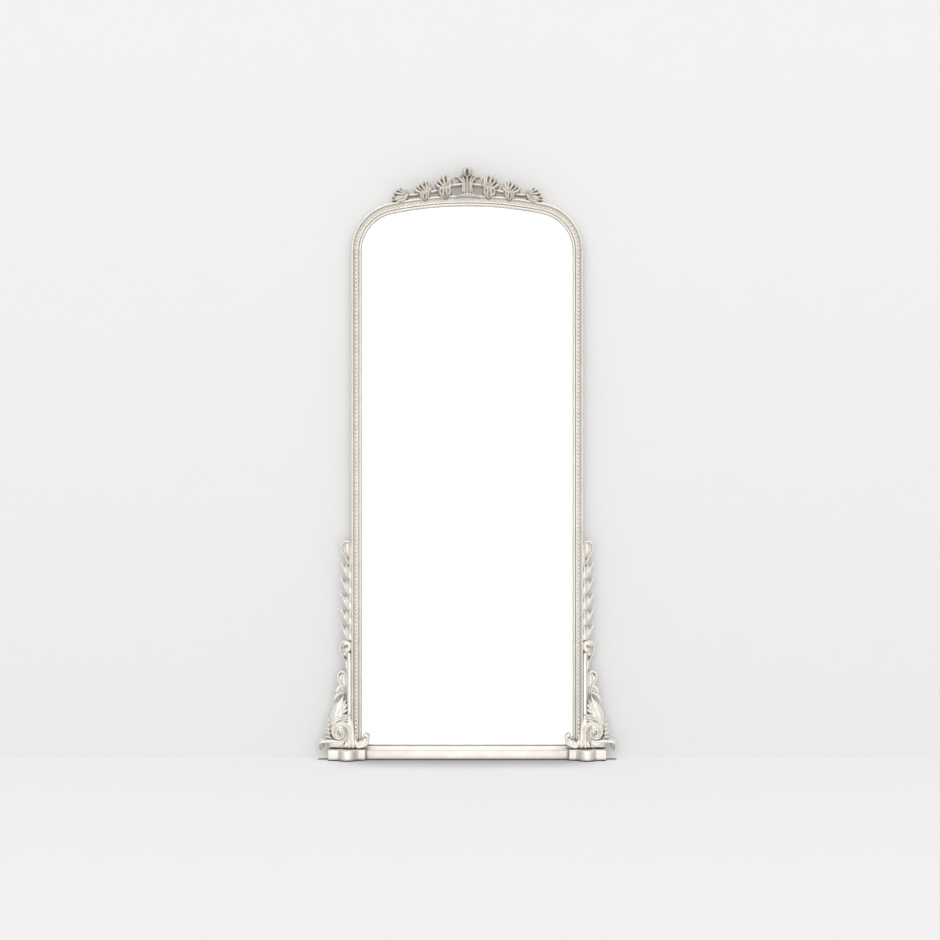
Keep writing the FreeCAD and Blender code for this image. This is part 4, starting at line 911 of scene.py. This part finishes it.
acanthus = [
    side_stroke([(64, 98), (58, 124), (47, 150), (36, 176), (25, 203)], [8, 14, 18, 13, 2],
                [30, 35, 37, 34, 22], ribs=3, groove=0.07, lifts=[0, 0, 0, 2, 6]),
    side_stroke([(50, 118), (36, 144), (25, 164), (20, 184)], [9, 16, 14, 5], [28, 33, 34, 28]),
    side_stroke([(69, 96), (66, 120), (58, 146), (47, 170), (37, 190)], [3, 3.6, 4, 3.6, 1.8],
                [32, 37, 39, 37, 26], lifts=[0, 0, 0, 1, 3]),
    side_stroke([(38, 150), (27, 172), (16, 189)], [6, 7, 4], [31, 36, 30], lifts=[0, 1, 4]),
    side_stroke([(36, 144), (23, 162), (11, 175)], [6, 7, 4], [31, 36, 30], lifts=[0, 1, 4]),
    side_stroke([(36, 138), (22, 152), (9, 160)], [6, 7, 4], [31, 36, 30], lifts=[0, 1, 4]),
    side_stroke([(0, 145.5), (14, 142), (32, 136.5), (48, 126.5), (59, 111), (65.5, 94)],
                [3, 4.4, 4.6, 4.4, 3.8, 2.8], [33, 38, 39, 40, 39, 36]),
    side_stroke([(0, 131.5), (14, 131), (29, 130), (44, 123), (56, 110), (63, 94), (62, 80)],
                [3, 4.4, 4.6, 4.4, 3.8, 2.8, 2], [34, 39, 40, 41, 40, 38, 36]),
    side_stroke([(0, 139), (22, 138), (42, 130), (55, 116), (62, 98)], [8, 9, 10, 9, 6],
                [29, 33, 34, 34, 32]),
]
carved_pair("acanthus_spray", acanthus, "acanthus_leaf", silver_carving)

# The foot leaf is a broad waved band under the volute that runs outward past the plinth block and
# curls down at its end, over a lower leaf. Five gadroon lobes stand along the volute's outside.

foot_leaf = [
    side_stroke(
        [(22, 68), (36, 58.5), (51, 58), (66, 58.5), (80, 57.5), (92, 56), (99.6, 51), (102.4, 43),
         (100.6, 34), (96.8, 29)],
        [4, 7.5, 9.5, 9.5, 8.5, 7.5, 6.6, 5.2, 4.4, 3], [38, 43, 44, 44, 44, 44, 43, 40, 36, 30],
    ),
    side_stroke([(93, 47), (94, 40), (95, 33)], [4, 6, 3], [22, 24, 20]),
    side_stroke([(20, 66), (25, 51), (38, 44), (52, 42), (66, 42), (77, 43)], [3, 4.6, 5.4, 5.4, 4.6, 3],
                [38, 42, 44, 43, 40, 34]),
    side_stroke([(30, 52), (52, 50), (72, 50)], [8, 10, 8], [36, 38, 34]),
    side_stroke([(69, 62), (72, 84), (72, 106), (66, 126)], [7, 8, 8, 6], [27, 31, 31, 25]),
]
for height, reach in ((125, 76), (111, 80.5), (98, 83), (85, 84.5), (72, 84)):
    foot_leaf.append(side_stroke(
        [(62, height - 3), (72, height), (reach, height)], [4.6, 6.4, 4.6], [33, 38, 30], lifts=[0, 1, 3],
    ))
carved_pair("foot_leaf", foot_leaf, "foot_leaf", silver_carving)

# In each bottom corner a small leaf turns up from the toes on to the rail, and closes in a round
# curl with a hollow middle.

corner_seat = 47
corner_leaf = [
    side_stroke([(-20, 40), (-34, 43), (-47, 49), (-54.5, 60), (-53, 72), (-46, 78), (-39.5, 73), (-40, 65)],
                [7.5, 7.5, 7, 6, 5.2, 4.4, 3.6, 2.4], [14, 16, 17, 17, 17, 16, 14, 11], corner_seat),
    side_stroke([(-20, 44), (-34, 50), (-44, 58), (-47, 68)], [7, 9, 8, 5], [9, 10, 9, 7], corner_seat),
    side_stroke([(-16, 44), (-28, 54), (-36, 61)], [5, 6, 3], [14, 15, 11], corner_seat, ribs=2, groove=0.2),
]
carved_pair("corner_leaf", corner_leaf, "corner_leaf", silver_carving)

# A plain rounded strip climbs the outside of each stile above the bracket. A narrow band leaves it at
# the top and coils over into a round medallion.

strip_seat = 14


def strip_stroke(*rest, **settings):
    return side_stroke(*rest, seat=strip_seat, **settings)


strip = [
    strip_stroke([(5.5, 125), (5.5, 180), (5.5, 240), (5.5, 300), (6.5, 340)], [13.5, 13.5, 13.5, 13.5, 12.5],
                 [28, 28, 28, 28, 27]),
    strip_stroke(
        [(16, 290), (19, 312), (26, 326), (33, 342), (34, 360), (28, 374), (15, 378), (2, 373), (-1, 360),
         (4, 348), (14, 343), (23, 348), (25, 359), (18, 366), (11, 363), (12, 356)],
        [2.8, 3.4, 3.8, 4.2, 4.2, 4.2, 4.2, 4, 3.8, 3.5, 3.3, 3.2, 3, 2.9, 2.7, 2.6],
        [23, 25, 27, 28, 28, 28, 28, 28, 28, 28.5, 29, 29, 29.5, 30, 30, 30],
    ),
    strip_stroke([(16, 330), (15, 344), (15, 360), (15, 372), (15, 379)], [12, 18, 20, 17, 9],
                 [22, 24, 24, 24, 22], groove=0.2),
    strip_stroke([(17, 352), (17, 357), (17, 362)], [2.4, 4, 2.4], [28, 31, 28]),
]
carved_pair("rounded_strip", strip, "scroll_strip", silver_carving)

# A small S-scroll hangs on the outer edge of the strip over the acanthus, with two leaves turned
# out from its foot and a thin recessed ground inside its loop.

side_scroll = [
    strip_stroke(
        [(13, 266), (19, 275), (29, 279.5), (39, 275), (43.5, 263), (41, 250), (34, 238), (28, 227),
         (26, 214), (27, 200)], [3.6, 4.4, 4.6, 4.6, 4.6, 4.5, 4.4, 4.4, 4.2, 3],
        [22, 24, 25, 25, 25, 25, 25, 25, 24, 20],
    ),
    strip_stroke([(22, 272), (25, 260), (24, 246), (22, 230), (22, 206)], [10, 17, 17, 13, 11],
                 [21, 22, 22, 21, 19], groove=0.58),
    strip_stroke([(24, 234), (32, 226), (38, 214)], [6, 9, 6], [19, 21, 19]),
    strip_stroke([(44, 222), (46.5, 216), (46, 209)], [4, 6.6, 4.4], [29, 37, 31]),
    strip_stroke([(50, 199), (52.5, 192.5), (52, 186)], [4, 6.8, 4.4], [29, 37, 31]),
    strip_stroke([(28, 236), (36, 231), (43, 223), (46, 213)], [4.6, 6.6, 7.6, 5.4], [22, 26, 28, 25],
                 lifts=[0, 1, 5, 8]),
    strip_stroke([(28, 212), (38, 208), (48, 200), (52, 190)], [5, 7, 7.8, 5.4], [22, 26, 28, 25],
                 lifts=[0, 1, 5, 8]),
]
carved_pair("s_scroll", side_scroll, "side_scroll", silver_carving)

# Up the stile hangs a drop of five husks, each a bell of three pointed petals that opens upward round
# the foot of the next. The topmost ends in a band that hooks over on to the stile.

husks = [
    strip_stroke(
        [(-6, 684), (2, 694), (14, 697), (26, 692), (31, 679), (28.5, 664), (21, 652), (15, 640), (13, 622)],
        [3.4, 4.2, 4.6, 4.8, 4.8, 4.6, 4.4, 4.4, 4], [26, 28, 28, 28, 28, 28, 28, 27, 25],
    ),
    strip_stroke([(10, 694), (13, 680), (10, 662), (6, 644)], [15, 21, 19, 13], [19, 20, 20, 19],
                 groove=0.62),
    strip_stroke([(0, 692), (0, 640), (1, 560), (1, 470), (1, 380)], [9, 11, 12, 12, 12],
                 [22, 26, 27, 27, 27]),
]
husk_foot = 383
husk_pitch = 49.6
for number in range(5):
    foot = husk_foot + husk_pitch * number
    top = foot + husk_pitch
    husks += [
        strip_stroke([(13, foot), (18, foot + 15), (24, foot + 30), (30, top - 8), (32, top - 1)],
                     [6, 7.2, 7.6, 6.8, 4.6], [23, 27, 28, 28, 24], lifts=[0, 0, 1, 4, 7]),
        strip_stroke([(5, foot), (4, foot + 18), (3, foot + 34), (1, top - 2)], [5, 6.8, 7.4, 4.4],
                     [26, 28, 29, 26], lifts=[0, 0, 1, 4]),
        strip_stroke([(10, foot - 3), (12, foot + 14), (14, foot + 30), (15, top - 10)], [5, 6, 6, 3.6],
                     [28, 31, 32, 28]),
    ]
carved_pair("drop_of_husks", husks, "husk_drop", silver_carving)

# The studio is a floor and a wall of matt paper, close behind the mirror. A lamp also lights the
# floor, so its paper is darker and both come out alike. The wall is seen from its front only, so
# that the mirror's back can be looked at through it.

wall_grey = "#EBEBEB"
floor_grey = "#A7A7A7"
wall_gap = 1 * mm
room_half = 9.0
wall_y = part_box("wall_bumpers")[1].y + wall_gap


def paper(name, grey, one_sided):
    material, tree, shader = start_material(
        name, Base_Color=linear(grey), Roughness=0.9, Specular_IOR_Level=0.0,
    )
    if one_sided:
        side_seen = add_node(tree, "ShaderNodeNewGeometry").outputs["Backfacing"]
        clear = add_node(tree, "ShaderNodeBsdfTransparent").outputs["BSDF"]
        either = add_node(
            tree, "ShaderNodeMixShader", links={0: side_seen, 1: shader.outputs["BSDF"], 2: clear},
        )
        tree.links.new(either.outputs["Shader"], tree.nodes["Material Output"].inputs["Surface"])
    return material


def panel(name, corners, material):
    mesh = bpy.data.meshes.new(name)
    mesh.from_pydata(corners, [], [tuple(range(len(corners)))])
    mesh.materials.append(material)
    made = bpy.data.objects.new(name, mesh)
    bpy.context.scene.collection.objects.link(made)
    return made


floor = panel(
    "studio_floor",
    [(-room_half, -room_half, 0), (room_half, -room_half, 0), (room_half, room_half, 0),
     (-room_half, room_half, 0)],
    paper("floor_paper", floor_grey, False),
)
# The silver leaf reflects the white tent in the floor's place, as over a lit white sheet.
floor.visible_glossy = False
wall = panel(
    "studio_wall",
    [(-room_half, wall_y, 0), (room_half, wall_y, 0), (room_half, wall_y, room_half),
     (-room_half, wall_y, room_half)],
    paper("wall_paper", wall_grey, True),
)

# The light is a tent of white cloth, bright in front round the camera and overhead, and dim to the
# sides, so the glass reads as plain white and the shadows on the wall stay short and soft.

world = bpy.data.worlds.new("studio_tent")
bpy.context.scene.world = world
world.use_nodes = True
side_glow = 0.5
front_glow = 1.9
overhead_glow = 1.3
tree = world.node_tree
way = add_node(tree, "ShaderNodeTexCoord").outputs["Generated"]
axes = add_node(tree, "ShaderNodeSeparateXYZ", links={"Vector": way})
front = add_node(
    tree, "ShaderNodeMapRange", settings={"interpolation_type": "SMOOTHSTEP"},
    values={"From Min": -0.75, "From Max": -0.94, "To Min": side_glow, "To Max": front_glow},
    links={"Value": axes.outputs["Y"]},
)
above = add_node(
    tree, "ShaderNodeMapRange", settings={"interpolation_type": "SMOOTHSTEP"},
    values={"From Min": 0.5, "From Max": 0.88, "To Min": 0.0, "To Max": overhead_glow},
    links={"Value": axes.outputs["Z"]},
)
glow = add_node(
    tree, "ShaderNodeMath", settings={"operation": "ADD"},
    links={0: front.outputs["Result"], 1: above.outputs["Result"]},
)
tent = tree.nodes["Background"]
tent.inputs["Color"].default_value = linear("#FFFFFF")
tree.links.new(glow.outputs["Value"], tent.inputs["Strength"])

# Two far lamps shine through the wall from behind. One, high up, lights the floor alone, so that the
# mirror throws its short shadow forward over it. The other, low and broad, lights only the board
# and its fittings, which the wall keeps from the tent's light.

clear_for_lamps = bpy.data.collections.new("clear_for_lamps")
clear_for_lamps.objects.link(wall)
clear_for_lamps.collection_objects[0].light_linking.link_state = "EXCLUDE"


def far_lamp(name, energy, breadth, lean, lit):
    """A lamp of some breadth, leaning back from upright, that lights only the given pieces."""
    lamp_data = bpy.data.lights.new(name, "SUN")
    lamp_data.energy = energy
    lamp_data.angle = math.radians(breadth)
    lamp = bpy.data.objects.new(name, lamp_data)
    lamp.rotation_euler = (-math.radians(lean), 0, 0)
    bpy.context.scene.collection.objects.link(lamp)
    lit_pieces = bpy.data.collections.new("lit_by_" + name)
    for piece in lit:
        lit_pieces.objects.link(piece)
    lamp.light_linking.receiver_collection = lit_pieces
    lamp.light_linking.blocker_collection = clear_for_lamps


back_fittings = [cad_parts[node] for node in ("backing_board", "board_points")]
back_fittings += [bpy.data.objects[name] for name in (
    "right_hanger_strap", "left_hanger_strap", "right_d_ring", "left_d_ring", "strap_screws",
    "rubber_bumpers",
)]
far_lamp("floor_lamp", energy=3.6, breadth=7, lean=3.5, lit=[floor])
far_lamp("back_lamp", energy=1.8, breadth=30, lean=72, lit=back_fittings)

# The camera stands six metres off at about the height of the mirror's middle and 9 mm aside, and
# looks level.

camera_distance = 6.0
camera_height = 0.926
camera_aside = 9 * mm
picture_width = 3.008
sensor_width = 36.0
camera_data = bpy.data.cameras.new("camera")
camera_data.sensor_width = sensor_width
camera_data.lens = sensor_width * camera_distance / picture_width
camera = bpy.data.objects.new("camera", camera_data)
camera.location = (camera_aside, -camera_distance, camera_height)
camera.rotation_euler = (math.pi / 2, 0, 0)
bpy.context.scene.collection.objects.link(camera)
bpy.context.scene.camera = camera
bpy.context.scene.view_settings.view_transform = "Standard"
